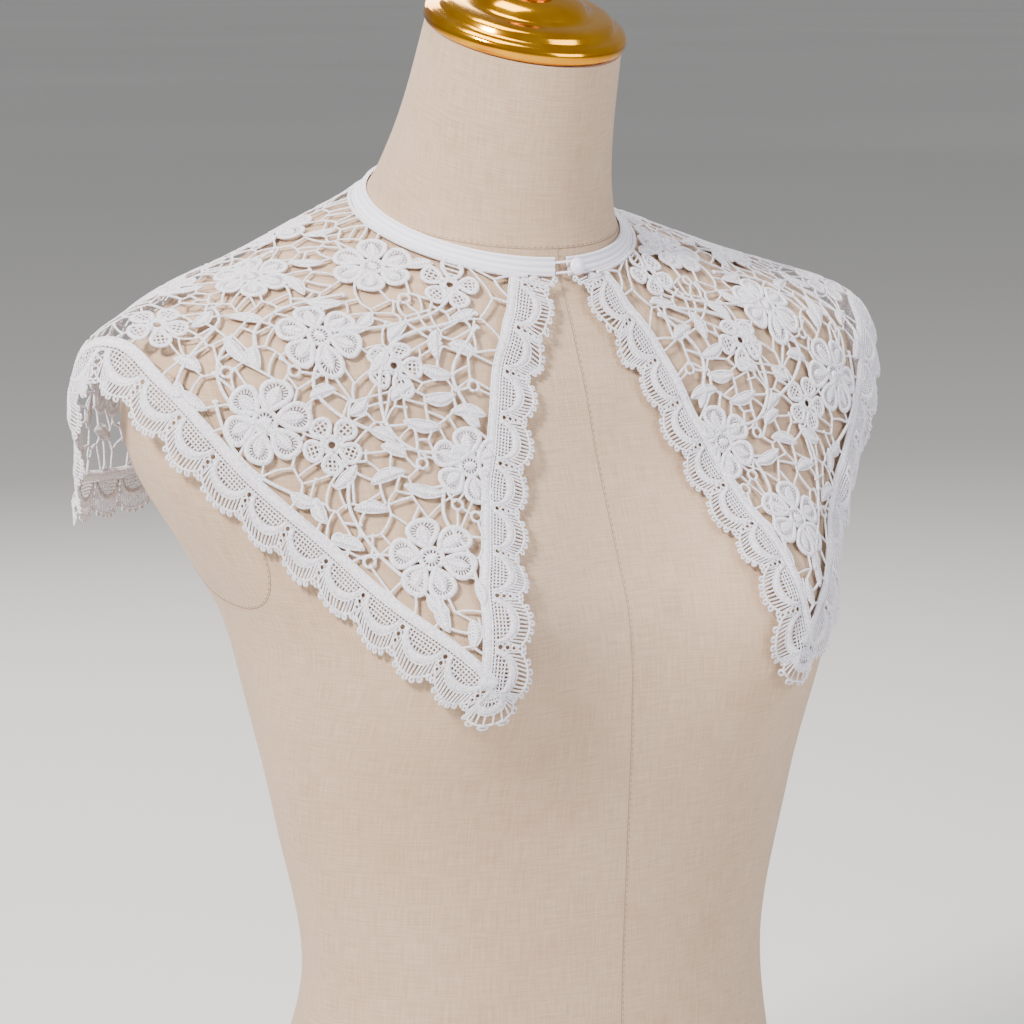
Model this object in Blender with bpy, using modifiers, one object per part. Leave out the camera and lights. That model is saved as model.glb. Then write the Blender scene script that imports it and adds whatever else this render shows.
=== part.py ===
"""A lace collar with two long front points, buttoned on a limbless dress form.

Metres, +Z up, front towards -Y. The origin is on the form's flat underside, below the
middle of the neck line.
The collar is laid out on a flat plan around the neck: r is the distance from the neck's
centre and a the angle from the centre front. The plan is then draped over the form.
"""
import math
from collections import namedtuple

import bmesh
import bpy
import numpy as np
from mathutils import Matrix, Vector
from mathutils.geometry import delaunay_2d_cdt

MM = 0.001

# Main sizes
NECK_LINE_HEIGHT = 615 * MM
SEAM_GAP = 0.3 * MM
CLOTH_GAP = 1.7 * MM
LACE_WALL = 1.3 * MM
SATIN_RISE = 0.7 * MM
BAR_WIDTH = 1.3 * MM
TAPE_WIDTH = 5.8 * MM
SCALLOP_PITCH = 24 * MM
SCALLOP_VALLEY = 12 * MM
SCALLOP_TIP = 19.5 * MM
CELL_SPACING = 10 * MM
CELL_REACH = 16 * MM
SEED_TRIES = 26000
BODY_MARGIN = 2.6 * MM
STRIP_MARGIN = 3.2 * MM
SHORTEST_GAP_SIDE = 1.6 * MM
GAPS_TO_CUT = 264
MIN_GAP_WIDTH = 4.2 * MM
FILL_SPACING = 16 * MM
CORNER_STATIONS = 14
SCALLOP_PHASES = (0, 0.16, 0.38, 0.62, 0.84)

BAND_WIDTH = 10 * MM
BAND_ABOVE_NECK_LINE = 3 * MM
BAND_LIFT = 0.8 * MM
BAND_THICKNESS = 2.0 * MM
RIB_HEIGHT = 0.4 * MM
BAND_FRONT_OPENING = 3.3
BUTTON_DIAMETER = 9 * MM
BUTTON_HEIGHT = 4.2 * MM
BUTTON_ANGLE = 6.0
BUTTON_BELOW = 2.5 * MM
LOOP_CORD = 1.4 * MM

# The form's cross sections, top to bottom. Heights are from the neck line, y is the middle
# of the section, tilt leans it forwards, square is the power of its superellipse.
FORM_COLUMNS = ("z", "y", "tilt", "half", "front", "back", "square")
FORM = dict(zip(FORM_COLUMNS, np.array([
    [92, -29, 19, 49, 49, 49, 2.0],
    [50, -15, 19, 53, 52, 53, 2.0],
    [20, -5, 19, 59, 56, 58, 2.0],
    [0, 0, 19, 67, 62, 65, 2.0],
    [-10, 1, 18, 86, 65, 69, 2.0],
    [-18, 1, 16, 112, 68, 74, 2.0],
    [-30, 0, 13, 146, 71, 79, 2.0],
    [-42, -3, 10, 178, 72, 85, 2.1],
    [-58, -8, 7, 203, 72, 90, 2.2],
    [-78, -13, 5, 211, 74, 94, 2.3],
    [-115, -21, 3, 208, 77, 101, 2.4],
    [-160, -31, 1, 182, 83, 109, 2.5],
    [-195, -38, 0, 163, 87, 111, 2.5],
    [-240, -42, 0, 153, 86, 107, 2.4],
    [-300, -44, 0, 143, 82, 94, 2.2],
    [-380, -42, 0, 130, 80, 84, 2.1],
    [-460, -30, 0, 146, 92, 102, 2.1],
    [-540, -24, 0, 166, 104, 118, 2.2],
    [-615, -24, 0, 170, 106, 120, 2.2],
], float).T))
SECTIONS = len(FORM["z"])
NECK_ROW = 3
NECK_RADIUS = 66 * MM
BUST_X = 93
BUST_Z = -198
BUST_ACROSS = 52
BUST_UP = 60
BUST_DEPTH = 28
SHOULDER_OVERHANG = 15
OVERHANG_FROM = 120
OVERHANG_OVER = 85

# The collar's edge on the plan, in millimetres: x to the side, y to the back.
# The tape's outer edge runs down the centre front, up to the shoulder and round the back.
FRONT_EDGE = [(23, -84), (28, -134), (32, -171), (40, -202), (54, -231), (82, -260), (123, -279),
              (178, -300)]
SIDE_EDGE = [(178, -300), (212, -232), (208, -170), (199, -90), (193, -49), (187, -16), (190, 12), (199, 32),
             (213, 46), (249, 67)]
BACK_EDGE = [(249, 67), (225, 132), (184, 186), (100, 237), (0, 258)]
SHOULDER_ANGLE = 96
SHOULDER_WAVE = 3.0

# Flowers: r and a on the plan, petals, size across, turn in degrees
Flower = namedtuple("Flower", "r a petals across turn")
FLOWERS = [Flower(*row) for row in (
    (92, 63, 6, 43, 10),
    (160, 46, 6, 43, 0),
    (213, 50, 6, 43, 20),
    (239, 17, 6, 41, 5),
    (284, 30, 6, 43, 12),
    (95, 35, 5, 30, 0),
    (184, 28, 5, 30, 30),
    (225, 38, 5, 30, 10),
    (169, 84, 5, 30, 20),
    (123, 88, 6, 40, 0),
    (112, 124, 6, 43, 15),
    (167, 152, 6, 43, 0),
    (208, 121, 6, 43, 25),
    (225, 166, 6, 41, 10),
    (152, 109, 5, 30, 0),
    (108, 160, 5, 30, 15),
    (172, 180, 5, 30, 0),
    (229, 142, 5, 30, 20),
)]

# Leaves: r and a of the middle on the plan, turn from the downward line, length
Leaf = namedtuple("Leaf", "r a turn length")
LEAF_WIDTH = 4.6 * MM
LEAVES = [Leaf(*row) for row in (
    (119, 72, -85, 19), (104, 82, -135, 17), (141, 42, -15, 12), (166, 23, -35, 15), (154, 32, 175, 14),
    (128, 24, -160, 13), (172, 18, -105, 14), (188, 21, -95, 17), (200, 26, -130, 12), (203, 20, -105, 16),
    (212, 16, -85, 18), (216, 23, -80, 19), (199, 39, -115, 13), (206, 33, -135, 12), (152, 67, -120, 18),
    (241, 37, -120, 15), (242, 30, -95, 18), (249, 25, -60, 20), (258, 35, -60, 16), (258, 44, 5, 13),
    (276, 43, -40, 16), (312, 34, 15, 17), (322, 31, 25, 13), (158, 77, 170, 15), (187, 69, -85, 14),
    (175, 60, -70, 20), (82, 52, -150, 13), (127, 57, -140, 18), (229, 28, -60, 13), (204, 66, -50, 15),
    (145, 98, 30, 18), (90, 100, -155, 16), (83, 143, 40, 14), (140, 130, 60, 18), (140, 174, -30, 17),
    (196, 100, 20, 18), (222, 111, -20, 16), (236, 119, 70, 18), (186, 136, 30, 18), (196, 176, 60, 18),
    (203, 154, -60, 17), (238, 131, 80, 16), (244, 153, 95, 17), (178, 126, 150, 16), (130, 143, 120, 15),
)]

# Eyelet rings: r and a on the plan
RING_ACROSS = 6.8 * MM
RINGS = [
    (236, 24), (258, 21), (265, 19), (285, 41), (189, 59), (187, 45), (198, 15), (273, 44), (114, 41),
    (142, 118), (186, 108), (137, 160), (195, 165), (214, 138), (243, 112), (248, 172),
]

# The form's solid is lofted through these fractional rows of its table.
TORSO_ROWS = (0, 1, 2, 2.5, 2.8, 3.1, 3.4, 3.7, 4, 4.5, 5, 5.5, 6, 6.5, 7, 7.5, 8, 8.5, 9, 9.5, 10, 10.5, 11,
              11.5, 12, 12.5, 13, 13.5, 14, 14.5, 15, 15.5, 16, 16.5, 17, 18)
TORSO_SIDES = 40

# The turned cap: radius, and height above the neck's flat top, in millimetres
CAP_PROFILE = [
    (0, 34), (7, 33), (12, 30), (13, 26), (10, 23.5), (17, 22), (25, 20), (29, 17), (31, 14.5), (40, 13.5),
    (44, 11.5), (45, 9), (49.5, 8), (51.5, 6), (51.5, 1.5), (50, 0), (0, 0),
]

# The button: parts of its radius and of its height
BUTTON_PROFILE = [(0, 1), (0.35, 0.97), (0.68, 0.84), (0.92, 0.64), (1, 0.5), (0.9, 0.42), (0.36, 0.4),
                  (0.36, 0), (0, 0)]

# The binding's section: place down its width, and 1 on a rib, 0 between ribs
BAND_RIBS = [(0, 0), (0.2, 1), (0.37, 0), (0.62, 0), (0.8, 1), (1, 0)]


def smooth_step(t):
    """0 below 0, 1 above 1, and a smooth rise between."""
    t = np.clip(t, 0, 1)
    return t * t * (3 - 2 * t)


def hanging(form):
    """The sections with the side and back hung straight down from their widest place."""
    half = np.maximum.accumulate(form["half"])
    reach = np.maximum.accumulate(form["y"] + form["back"])
    overhang = SHOULDER_OVERHANG * smooth_step((half - OVERHANG_FROM) / OVERHANG_OVER)
    return {**form, "half": half + overhang, "back": reach - form["y"]}


CLOTH = hanging(FORM)


def row_value(rows, k):
    """A column of a table at the fractional row k, through a Catmull-Rom curve."""
    k = np.clip(np.asarray(k, float), 0, len(rows) - 1)
    i = np.minimum(k.astype(int), len(rows) - 2)
    t = k - i
    before, start = rows[np.maximum(i - 1, 0)], rows[i]
    end, after = rows[i + 1], rows[np.minimum(i + 2, len(rows) - 1)]
    cubic = 3 * (start - end) + after - before
    square = 2 * before - 5 * start + 4 * end - after
    return start + 0.5 * t * (end - before + t * (square + t * cubic))


def ring_point(k, angle, cloth):
    """A point of section k, at the angle from the front; cloth is True on the hanging cloth."""
    z, y, tilt, half, front, back, square = [row_value(FORM[name], k) for name in FORM_COLUMNS]
    if cloth:
        side = smooth_step((np.degrees(np.abs(angle)) - 65) / 32)
        half = half + side * (row_value(CLOTH["half"], k) - half)
        back = row_value(CLOTH["back"], k)
    sine, cosine = np.sin(angle), np.cos(angle)
    x = half * np.sign(sine) * np.abs(sine) ** (2 / square)
    depth = np.where(cosine > 0, front, back)
    dy = -depth * np.sign(cosine) * np.abs(cosine) ** (2 / square)
    z = z + np.tan(np.radians(tilt)) * dy
    up = np.exp(-((z - BUST_Z) / BUST_UP) ** 2)
    bust = sum(np.exp(-((x - side * BUST_X) / BUST_ACROSS) ** 2) for side in (-1, 1)) * up
    y = y + dy - BUST_DEPTH * bust * smooth_step(3 * cosine)
    points = np.stack(np.broadcast_arrays(x, y, z), -1) * MM
    points[..., 2] += NECK_LINE_HEIGHT
    return points


def surface(k, angle, out, cloth=True):
    """The form's or the cloth's surface, moved out along its normal."""
    k, angle = np.asarray(k, float), np.asarray(angle, float)
    step = 1e-3
    along = ring_point(k, angle + step, cloth) - ring_point(k, angle - step, cloth)
    down = ring_point(k + step, angle, cloth) - ring_point(k - step, angle, cloth)
    normal = np.cross(down, along)
    normal /= np.linalg.norm(normal, axis=-1, keepdims=True)
    return ring_point(k, angle, cloth) + normal * np.asarray(out)[..., None]


def plan_reach():
    """How far each fractional section lies from the neck line, as a mean all round."""
    k = np.linspace(0, SECTIONS - 1, 361)
    angle = np.radians(np.arange(2.5, 180, 5))
    points = ring_point(k[:, None], angle[None, :], True)
    steps = np.linalg.norm(np.diff(points, axis=0), axis=-1).mean(1)
    reach = np.concatenate([[0], np.cumsum(steps)])
    return k, reach - np.interp(NECK_ROW, k, reach)


REACH_ROWS, REACH = plan_reach()


def plan(r, degrees):
    """A plan place in metres from its r in millimetres and its angle."""
    angle = np.radians(degrees)
    return np.array([r * math.sin(angle), -r * math.cos(angle)]) * MM


def drape(xy, out):
    """Plan places draped over the form, moved out from the cloth's surface."""
    xy = np.asarray(xy, float)
    k = np.interp(np.hypot(xy[..., 0], xy[..., 1]) - NECK_RADIUS, REACH, REACH_ROWS)
    return surface(k, np.arctan2(xy[..., 0], -xy[..., 1]), out)


def frame_at(xy):
    """The cloth's point, its across, down and outward directions, and the plan's steps for them."""
    xy = np.asarray(xy, float)
    step = 0.2 * MM
    point = drape(xy, 0.0)
    gx = (drape(xy + [step, 0], 0.0) - point) / step
    gy = (drape(xy + [0, step], 0.0) - point) / step
    radial = xy / np.linalg.norm(xy, axis=-1, keepdims=True)
    down = radial[..., :1] * gx + radial[..., 1:] * gy
    down /= np.linalg.norm(down, axis=-1, keepdims=True)
    outward = np.cross(gx, gy)
    outward /= np.linalg.norm(outward, axis=-1, keepdims=True)
    across = np.cross(outward, down)
    jacobian = np.stack([gx, gy], -1)
    to_plan = np.linalg.pinv(jacobian) @ np.stack([across, down], -1)
    return point, across, down, outward, to_plan


def curve_through(points, step=2 * MM):
    """A Catmull-Rom curve through plan points in millimetres, sampled evenly on the cloth."""
    p = np.array(points, float) * MM
    t = np.linspace(0, len(p) - 1, 60 * len(p))
    xy = np.stack([row_value(p[:, 0], t), row_value(p[:, 1], t)], -1)
    length = np.concatenate([[0], np.cumsum(np.linalg.norm(np.diff(drape(xy, 0.0), axis=0), axis=1))])
    at = np.linspace(0, length[-1], max(2, round(length[-1] / step)) + 1)
    return np.stack([np.interp(at, length, xy[:, 0]), np.interp(at, length, xy[:, 1])], -1)


def edge_stations():
    """Stations along the tape's outer edge: the length so far, the plan place, and the plan's
    step for a metre outwards. At a sharp corner the stations fan out around the corner."""
    length, place, outwards = [], [], []
    run = 0.0
    for edge in (FRONT_EDGE, SIDE_EDGE, BACK_EDGE):
        xy = curve_through(edge)
        point, across, down, normal, to_plan = frame_at(xy)
        tangent = np.gradient(point, axis=0)
        tangent /= np.linalg.norm(tangent, axis=1, keepdims=True)
        side = np.cross(tangent, normal)
        local = np.stack([(side * across).sum(1), (side * down).sum(1)], -1)
        steps = np.einsum("nij,nj->ni", to_plan, local)
        if length:
            for i in range(1, CORNER_STATIONS):
                mix = i / CORNER_STATIONS
                facing = (1 - mix) * last_side + mix * side[0]
                facing /= np.linalg.norm(facing)
                run += SCALLOP_VALLEY * math.acos(np.clip(last_side @ side[0], -1, 1)) / CORNER_STATIONS
                length.append(run)
                place.append(xy[0])
                outwards.append(to_plan[0] @ [facing @ across[0], facing @ down[0]])
        for i in range(len(xy)):
            if i:
                run += np.linalg.norm(point[i] - point[i - 1])
            length.append(run)
            place.append(xy[i])
            outwards.append(steps[i])
        last_side = side[-1]
    return np.array(length), np.array(place), np.array(outwards)


EDGE_LENGTH, EDGE_PLACE, EDGE_OUT = edge_stations()
SCALLOPS = round(EDGE_LENGTH[-1] / SCALLOP_PITCH)
PITCH = EDGE_LENGTH[-1] / SCALLOPS


def edge_point(length, out):
    """The plan place at a length along the tape's outer edge, moved outwards."""
    pick = [np.interp(length, EDGE_LENGTH, column) for column in (*EDGE_PLACE.T, *EDGE_OUT.T)]
    return np.array([pick[0] + pick[2] * out, pick[1] + pick[3] * out])


def scallop_reach(phase):
    """How far the scalloped edge stands out at a phase from 0 to 1 of one scallop."""
    return SCALLOP_VALLEY + (SCALLOP_TIP - SCALLOP_VALLEY) * math.sin(math.pi * phase) ** 0.6


def neck_r(degrees, below):
    """The plan's r at an angle, at a real distance below the neck line."""
    k = np.linspace(NECK_ROW - 1, NECK_ROW + 5, 121)
    points = ring_point(k, math.radians(degrees), True)
    run = np.concatenate([[0], np.cumsum(np.linalg.norm(np.diff(points, axis=0), axis=1))])
    run -= np.interp(NECK_ROW, k, run)
    return np.interp(np.interp(below, run, k), REACH_ROWS, REACH) + NECK_RADIUS


LACE_TOP = BAND_WIDTH - BAND_ABOVE_NECK_LINE + SEAM_GAP


def neck_edge(start, end, count):
    """Plan places along the lace's neck edge between two angles."""
    angles = np.linspace(start, end, count)
    return [plan(neck_r(a, LACE_TOP) / MM, a) for a in angles]


def shoulder_line(shift, count=14):
    """Plan places down the shoulder from the neck edge to a valley of the scallops."""
    start = neck_r(SHOULDER_ANGLE, LACE_TOP)
    valley = edge_point(TIP_LENGTH, SCALLOP_VALLEY)
    swing = math.degrees(math.atan2(valley[0], -valley[1])) - SHOULDER_ANGLE
    places = []
    for t in np.linspace(0, 1, count):
        r = start + t * (np.linalg.norm(valley) - start)
        wave = SHOULDER_WAVE * math.sin(3 * math.pi * t)
        angle = math.radians(SHOULDER_ANGLE + swing * t + wave) + shift / r
        places.append(np.array([r * math.sin(angle), -r * math.cos(angle)]))
    return places


def tip_length():
    """Where the tape's edge crosses the shoulder's angle."""
    angle = np.degrees(np.arctan2(EDGE_PLACE[:, 0], -EDGE_PLACE[:, 1]))
    first = np.argmax(angle > SHOULDER_ANGLE)
    return round(EDGE_LENGTH[first] / PITCH) * PITCH


TIP_LENGTH = tip_length()


def local_shape(centre, offsets):
    """Plan places for real offsets (across, down) in metres from a plan place."""
    to_plan = frame_at(centre)[4]
    return [centre + to_plan @ np.array(o) for o in offsets]


def flower_places(flower):
    """A flower's rounds as (plan place, radius), the centre first."""
    across = flower.across * MM
    petal_radius = across * (0.165 if flower.petals == 6 else 0.19)
    reach = across / 2 - petal_radius
    offsets = [(0, 0)]
    for i in range(flower.petals):
        angle = math.radians(flower.turn) + 2 * math.pi * i / flower.petals
        offsets.append((reach * math.sin(angle), reach * math.cos(angle)))
    places = local_shape(plan(flower.r, flower.a), offsets)
    return list(zip(places, [across * 0.17] + [petal_radius] * flower.petals))


def leaf_places(leaf, half):
    """The two plan places at half a length either way from a leaf's middle."""
    turn = math.radians(leaf.turn)
    step = np.array([math.sin(turn), math.cos(turn)]) * half
    return local_shape(plan(leaf.r, leaf.a), [-step, step])


def capsules():
    """Every solid body of the lace on the half plan: two plan ends and a real radius."""
    bodies = []
    for flower in FLOWERS:
        for place, radius in flower_places(flower):
            bodies.append((place, place, radius))
    for leaf in LEAVES:
        start, end = leaf_places(leaf, leaf.length * MM / 2 - LEAF_WIDTH / 2)
        bodies.append((start, end, LEAF_WIDTH / 2))
    for r, a in RINGS:
        bodies.append((plan(r, a), plan(r, a), RING_ACROSS / 2))
    return bodies


def strips():
    """The tape, the neck edge and the shoulder stem as chains of plan places with a radius."""
    lengths = np.linspace(0, EDGE_LENGTH[-1], 3 * SCALLOPS + 1)
    tape = [edge_point(length, -TAPE_WIDTH / 2) for length in lengths]
    neck = neck_edge(15, 180, 40)
    return [(tape, TAPE_WIDTH / 2), (neck, BAR_WIDTH), (shoulder_line(0.0), BAR_WIDTH * 0.6)]


def nearest_on(start, end, point):
    """The point of a segment that lies nearest to a point, in any number of dimensions."""
    along = end - start
    span = along @ along
    t = np.clip((point - start) @ along / span, 0, 1) if span > 0 else 0.0
    return start + t * along


def inside_edge(xy):
    """Whether plan places lie inside the tape's outer edge, on the half plan."""
    outline = np.array([*EDGE_PLACE, *reversed(neck_edge(14, 180, 40))])
    x, y = xy[:, 0][:, None], xy[:, 1][:, None]
    x1, y1 = outline.T
    x2, y2 = np.roll(outline, -1, axis=0).T
    crosses = ((y1 > y) != (y2 > y)) & (x < (x2 - x1) * (y - y1) / (y2 - y1 + 1e-15) + x1)
    return crosses.sum(1) % 2 == 1


def scatter_cells(bodies, chains):
    """Seeds for the ground's gaps, spread over the free places of the half plan."""
    rng = np.random.default_rng(7)
    tries = rng.uniform([0, -0.31], [0.26, 0.27], (SEED_TRIES, 2))
    tries = tries[inside_edge(tries)]
    points = drape(tries, 0.0)
    clear = np.ones(len(tries), bool)
    for start, end, radius in bodies:
        a, b = drape(start, 0.0), drape(end, 0.0)
        along = b - a
        span = max(along @ along, 1e-12)
        t = np.clip((points - a) @ along / span, 0, 1)[:, None]
        clear &= np.linalg.norm(points - a - t * along, axis=1) > radius + BODY_MARGIN
    for chain, radius in chains:
        ends = drape(np.array(chain), 0.0)
        for a, b in zip(ends[:-1], ends[1:]):
            along = b - a
            t = np.clip((points - a) @ along / (along @ along), 0, 1)[:, None]
            clear &= np.linalg.norm(points - a - t * along, axis=1) > radius + STRIP_MARGIN
    seeds = []
    for i in np.flatnonzero(clear):
        if not seeds or np.linalg.norm(points[seeds] - points[i], axis=1).min() > CELL_SPACING:
            seeds.append(i)
    return tries[seeds]


def clip(polygon, direction, limit):
    """The part of a convex polygon where its points lie no further than limit along direction."""
    kept = []
    for i, here in enumerate(polygon):
        there = polygon[(i + 1) % len(polygon)]
        h, t = here @ direction - limit, there @ direction - limit
        if h <= 0:
            kept.append(here)
        if (h < 0 < t) or (t < 0 < h):
            kept.append(here + (there - here) * h / (h - t))
    return kept


def merge_close(polygon, least):
    """A polygon without its shortest sides."""
    polygon = list(polygon)
    while len(polygon) > 3:
        spans = [np.linalg.norm(polygon[i - 1] - p) for i, p in enumerate(polygon)]
        i = int(np.argmin(spans))
        if spans[i] > least:
            break
        middle = (polygon[i - 1] + polygon[i]) / 2
        polygon[i] = middle
        del polygon[i - 1]
    return polygon


def gap_polygons():
    """The ground's gaps, as (real area, plan polygon), the largest first."""
    bodies, chains = capsules(), strips()
    seeds = scatter_cells(bodies, chains)
    points, across, down, _, to_plan = frame_at(seeds)
    mirrored = points * [-1, 1, 1]
    others = np.concatenate([points, mirrored])
    solid = [(drape(a, 0.0), drape(b, 0.0), radius) for a, b, radius in bodies]
    solid += [(a * [-1, 1, 1], b * [-1, 1, 1], radius) for a, b, radius in solid]
    for chain, radius in chains:
        ends = drape(np.array(chain), 0.0)
        solid += [(a, b, radius) for a, b in zip(ends[:-1], ends[1:])]
    gaps = []
    for i, seed in enumerate(points):
        axes = np.stack([across[i], down[i]])
        polygon = [np.array(c) * CELL_REACH for c in ((-1, -1), (1, -1), (1, 1), (-1, 1))]
        for other in others:
            offset = axes @ (other - seed)
            distance = np.linalg.norm(offset)
            if distance > 1e-6 and np.linalg.norm(other - seed) < 2.2 * CELL_REACH:
                polygon = clip(polygon, offset / distance, distance / 2 - BAR_WIDTH / 2)
        for start, end, radius in solid:
            near = nearest_on(start, end, seed) - seed
            far = np.linalg.norm(near)
            near = axes @ near
            distance = np.linalg.norm(near)
            if far < 1.5 * CELL_REACH + radius and polygon:
                polygon = clip(polygon, near / distance, distance - radius - BAR_WIDTH / 4)
        polygon = merge_close(polygon, SHORTEST_GAP_SIDE)
        if len(polygon) < 3:
            continue
        p = np.array(polygon)
        q = np.roll(p, -1, axis=0)
        area = abs((p[:, 0] * q[:, 1] - q[:, 0] * p[:, 1]).sum()) / 2
        sides = (q - p) / np.linalg.norm(q - p, axis=1, keepdims=True)
        widths = [np.ptp(p @ np.array([-side[1], side[0]])) for side in sides]
        if min(widths) > MIN_GAP_WIDTH:
            gaps.append((area, [seeds[i] + to_plan[i] @ corner for corner in p]))
    return sorted(gaps, key=lambda gap: -gap[0])


def satin_places():
    """Plan places that stand proud as stitched satin: petals, flower centres and leaves."""
    places = []
    for flower in FLOWERS:
        places += [place for place, _ in flower_places(flower)]
    for leaf in LEAVES:
        places += leaf_places(leaf, leaf.length * MM / 4)
    return places


def inside(polygon, xy):
    """Whether a plan place lies inside a polygon."""
    crossed = False
    for i, (x2, y2) in enumerate(polygon):
        x1, y1 = polygon[i - 1]
        if (y1 > xy[1]) != (y2 > xy[1]) and xy[0] < (x2 - x1) * (xy[1] - y1) / (y2 - y1) + x1:
            crossed = not crossed
    return crossed


def fill_places(outline, gaps, taken):
    """Plan places on a coarse net over the wider solid stretches, so that they follow the form."""
    net = FILL_SPACING
    fill = []
    for row, y in enumerate(np.arange(-0.33, 0.29, net * 0.87)):
        for x in np.arange(0.5 * net * (1 + row % 2), 0.27, net):
            place = np.array([x, y])
            far = np.linalg.norm(taken - place, axis=1).min() > net * 0.45
            if far and inside(outline, place) and not any(inside(gap, place) for gap in gaps):
                fill.append(place)
    return fill


def lace_mesh(name, outline, gaps, satin):
    """An open mesh of the lace between its outline and its gaps, draped over the form.
    The vertex group relief has the satin places, which the wall's outer side raises."""
    places = [Vector(p) for p in outline]
    edges = [(i, (i + 1) % len(outline)) for i in range(len(outline))]
    kept = [gap for gap in gaps if inside(outline, np.mean(gap, axis=0))]
    for gap in kept:
        first = len(places)
        places += [Vector(p) for p in gap]
        edges += [(first + i, first + (i + 1) % len(gap)) for i in range(len(gap))]
    marks = [p for p in satin if inside(outline, p) and not any(inside(gap, p) for gap in kept)]
    first_mark = len(places)
    places += [Vector(p) for p in marks]
    tape_line = [edge_point(s, 0) for s in np.arange(0.5, 2 * SCALLOPS) * PITCH / 2]
    places += [Vector(p) for p in tape_line if inside(outline, p)]
    places += [Vector(p) for p in fill_places(outline, kept, np.array(places))]
    flat, _, faces, source, _, _ = delaunay_2d_cdt(places, edges, [], 0, 1e-7)
    flat = np.array(flat)
    mesh = bmesh.new()
    group = mesh.verts.layers.deform.new()
    verts = [mesh.verts.new(p) for p in drape(flat, CLOTH_GAP)]
    for vert, origin in zip(verts, source):
        raised = origin and first_mark <= origin[0] < first_mark + len(marks)
        vert[group][0] = 1.0 if raised else 0.0
    for face in faces:
        middle = flat[list(face)].mean(0)
        if inside(outline, middle) and not any(inside(gap, middle) for gap in kept):
            mesh.faces.new([verts[i] for i in face])
    loose = [v for v in mesh.verts if not v.link_faces]
    bmesh.ops.delete(mesh, geom=loose, context="VERTS")
    mesh.normal_update()
    outwards = sum(f.normal.dot(f.calc_center_median() - Vector((0, 0, NECK_LINE_HEIGHT - 0.1)))
                   for f in mesh.faces)
    if outwards < 0:
        bmesh.ops.reverse_faces(mesh, faces=mesh.faces)
    data = bpy.data.meshes.new(name)
    mesh.to_mesh(data)
    mesh.free()
    return data


def add_wall(piece):
    """The lace's wall, thicker over the satin places, outwards from the open mesh."""
    piece.vertex_groups.new(name="relief")
    wall = piece.modifiers.new("wall", "SOLIDIFY")
    wall.thickness = LACE_WALL + SATIN_RISE
    wall.offset = 1
    wall.vertex_group = "relief"
    wall.thickness_vertex_group = LACE_WALL / (LACE_WALL + SATIN_RISE)


def scalloped_edge(start, end):
    """Plan places along the scallops between two lengths of the tape's edge."""
    first, last = round(start / PITCH), round(end / PITCH)
    return [edge_point((i + phase) * PITCH, scallop_reach(phase))
            for i in range(first, last) for phase in SCALLOP_PHASES]


def front_outline():
    """The front panel's outline on the plan, from the neck round its scallops to the shoulder."""
    places = scalloped_edge(0, TIP_LENGTH)
    line = shoulder_line(-SEAM_GAP * 0.8)
    neck = neck_edge(14, SHOULDER_ANGLE, 18)
    neck[-1] = line[0]
    return places + list(reversed(line)) + list(reversed(neck[:-1]))


def back_outline():
    """The right or left half of the back panel's outline on the plan, to the centre back."""
    places = scalloped_edge(TIP_LENGTH, EDGE_LENGTH[-1])[1:]
    places.append(edge_point(EDGE_LENGTH[-1], SCALLOP_VALLEY))
    places[-1][0] = 0.0
    line = shoulder_line(SEAM_GAP * 0.8)
    neck = neck_edge(SHOULDER_ANGLE, 180, 16)
    neck[0] = line[0]
    neck[-1][0] = 0.0
    middle = [np.array([0.0, y]) for y in np.linspace(neck[-1][1], places[-1][1], 18)[1:-1]]
    return list(reversed(line)) + neck[1:] + middle + list(reversed(places))


def finish_material(name, colour, roughness, metallic=0.0):
    """A plain Principled material from a linear colour."""
    material = bpy.data.materials.new(name)
    material.use_nodes = True
    shader = material.node_tree.nodes["Principled BSDF"]
    shader.inputs["Base Color"].default_value = (*colour, 1)
    shader.inputs["Roughness"].default_value = roughness
    shader.inputs["Metallic"].default_value = metallic
    return material


def add_piece(name, mesh, material, collection):
    """A named object in the collar's collection."""
    piece = bpy.data.objects.new(name, mesh)
    mesh.materials.append(material)
    collection.objects.link(piece)
    return piece


def loft(name, loops):
    """A closed solid through loops of points, with a flat face at each end."""
    mesh = bmesh.new()
    rings = [[mesh.verts.new(p) for p in loop] for loop in loops]
    count = len(loops[0])
    mesh.faces.new(list(reversed(rings[0])))
    mesh.faces.new(rings[-1])
    for near, far in zip(rings[:-1], rings[1:]):
        for i in range(count):
            j = (i + 1) % count
            mesh.faces.new([near[i], near[j], far[j], far[i]])
    bmesh.ops.recalc_face_normals(mesh, faces=mesh.faces)
    data = bpy.data.meshes.new(name)
    mesh.to_mesh(data)
    mesh.free()
    data.shade_smooth()
    data.set_sharp_from_angle(angle=math.radians(40))
    return data


def make_torso(collection, linen):
    """The limbless form, one solid from the top of the neck to the flat underside."""
    angles = np.linspace(0, 2 * math.pi, TORSO_SIDES, endpoint=False)
    angles = (angles + math.pi) % (2 * math.pi) - math.pi
    loops = [ring_point(np.full(len(angles), k), angles, False) for k in TORSO_ROWS]
    return add_piece("form_torso", loft("form_torso", loops), linen, collection)


def neck_top():
    """The middle of the neck's flat top and the turn that leans with it."""
    lean = Matrix.Rotation(math.radians(FORM["tilt"][0]), 4, "X")
    return Matrix.Translation((0, FORM["y"][0] * MM, NECK_LINE_HEIGHT + FORM["z"][0] * MM)) @ lean


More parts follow.
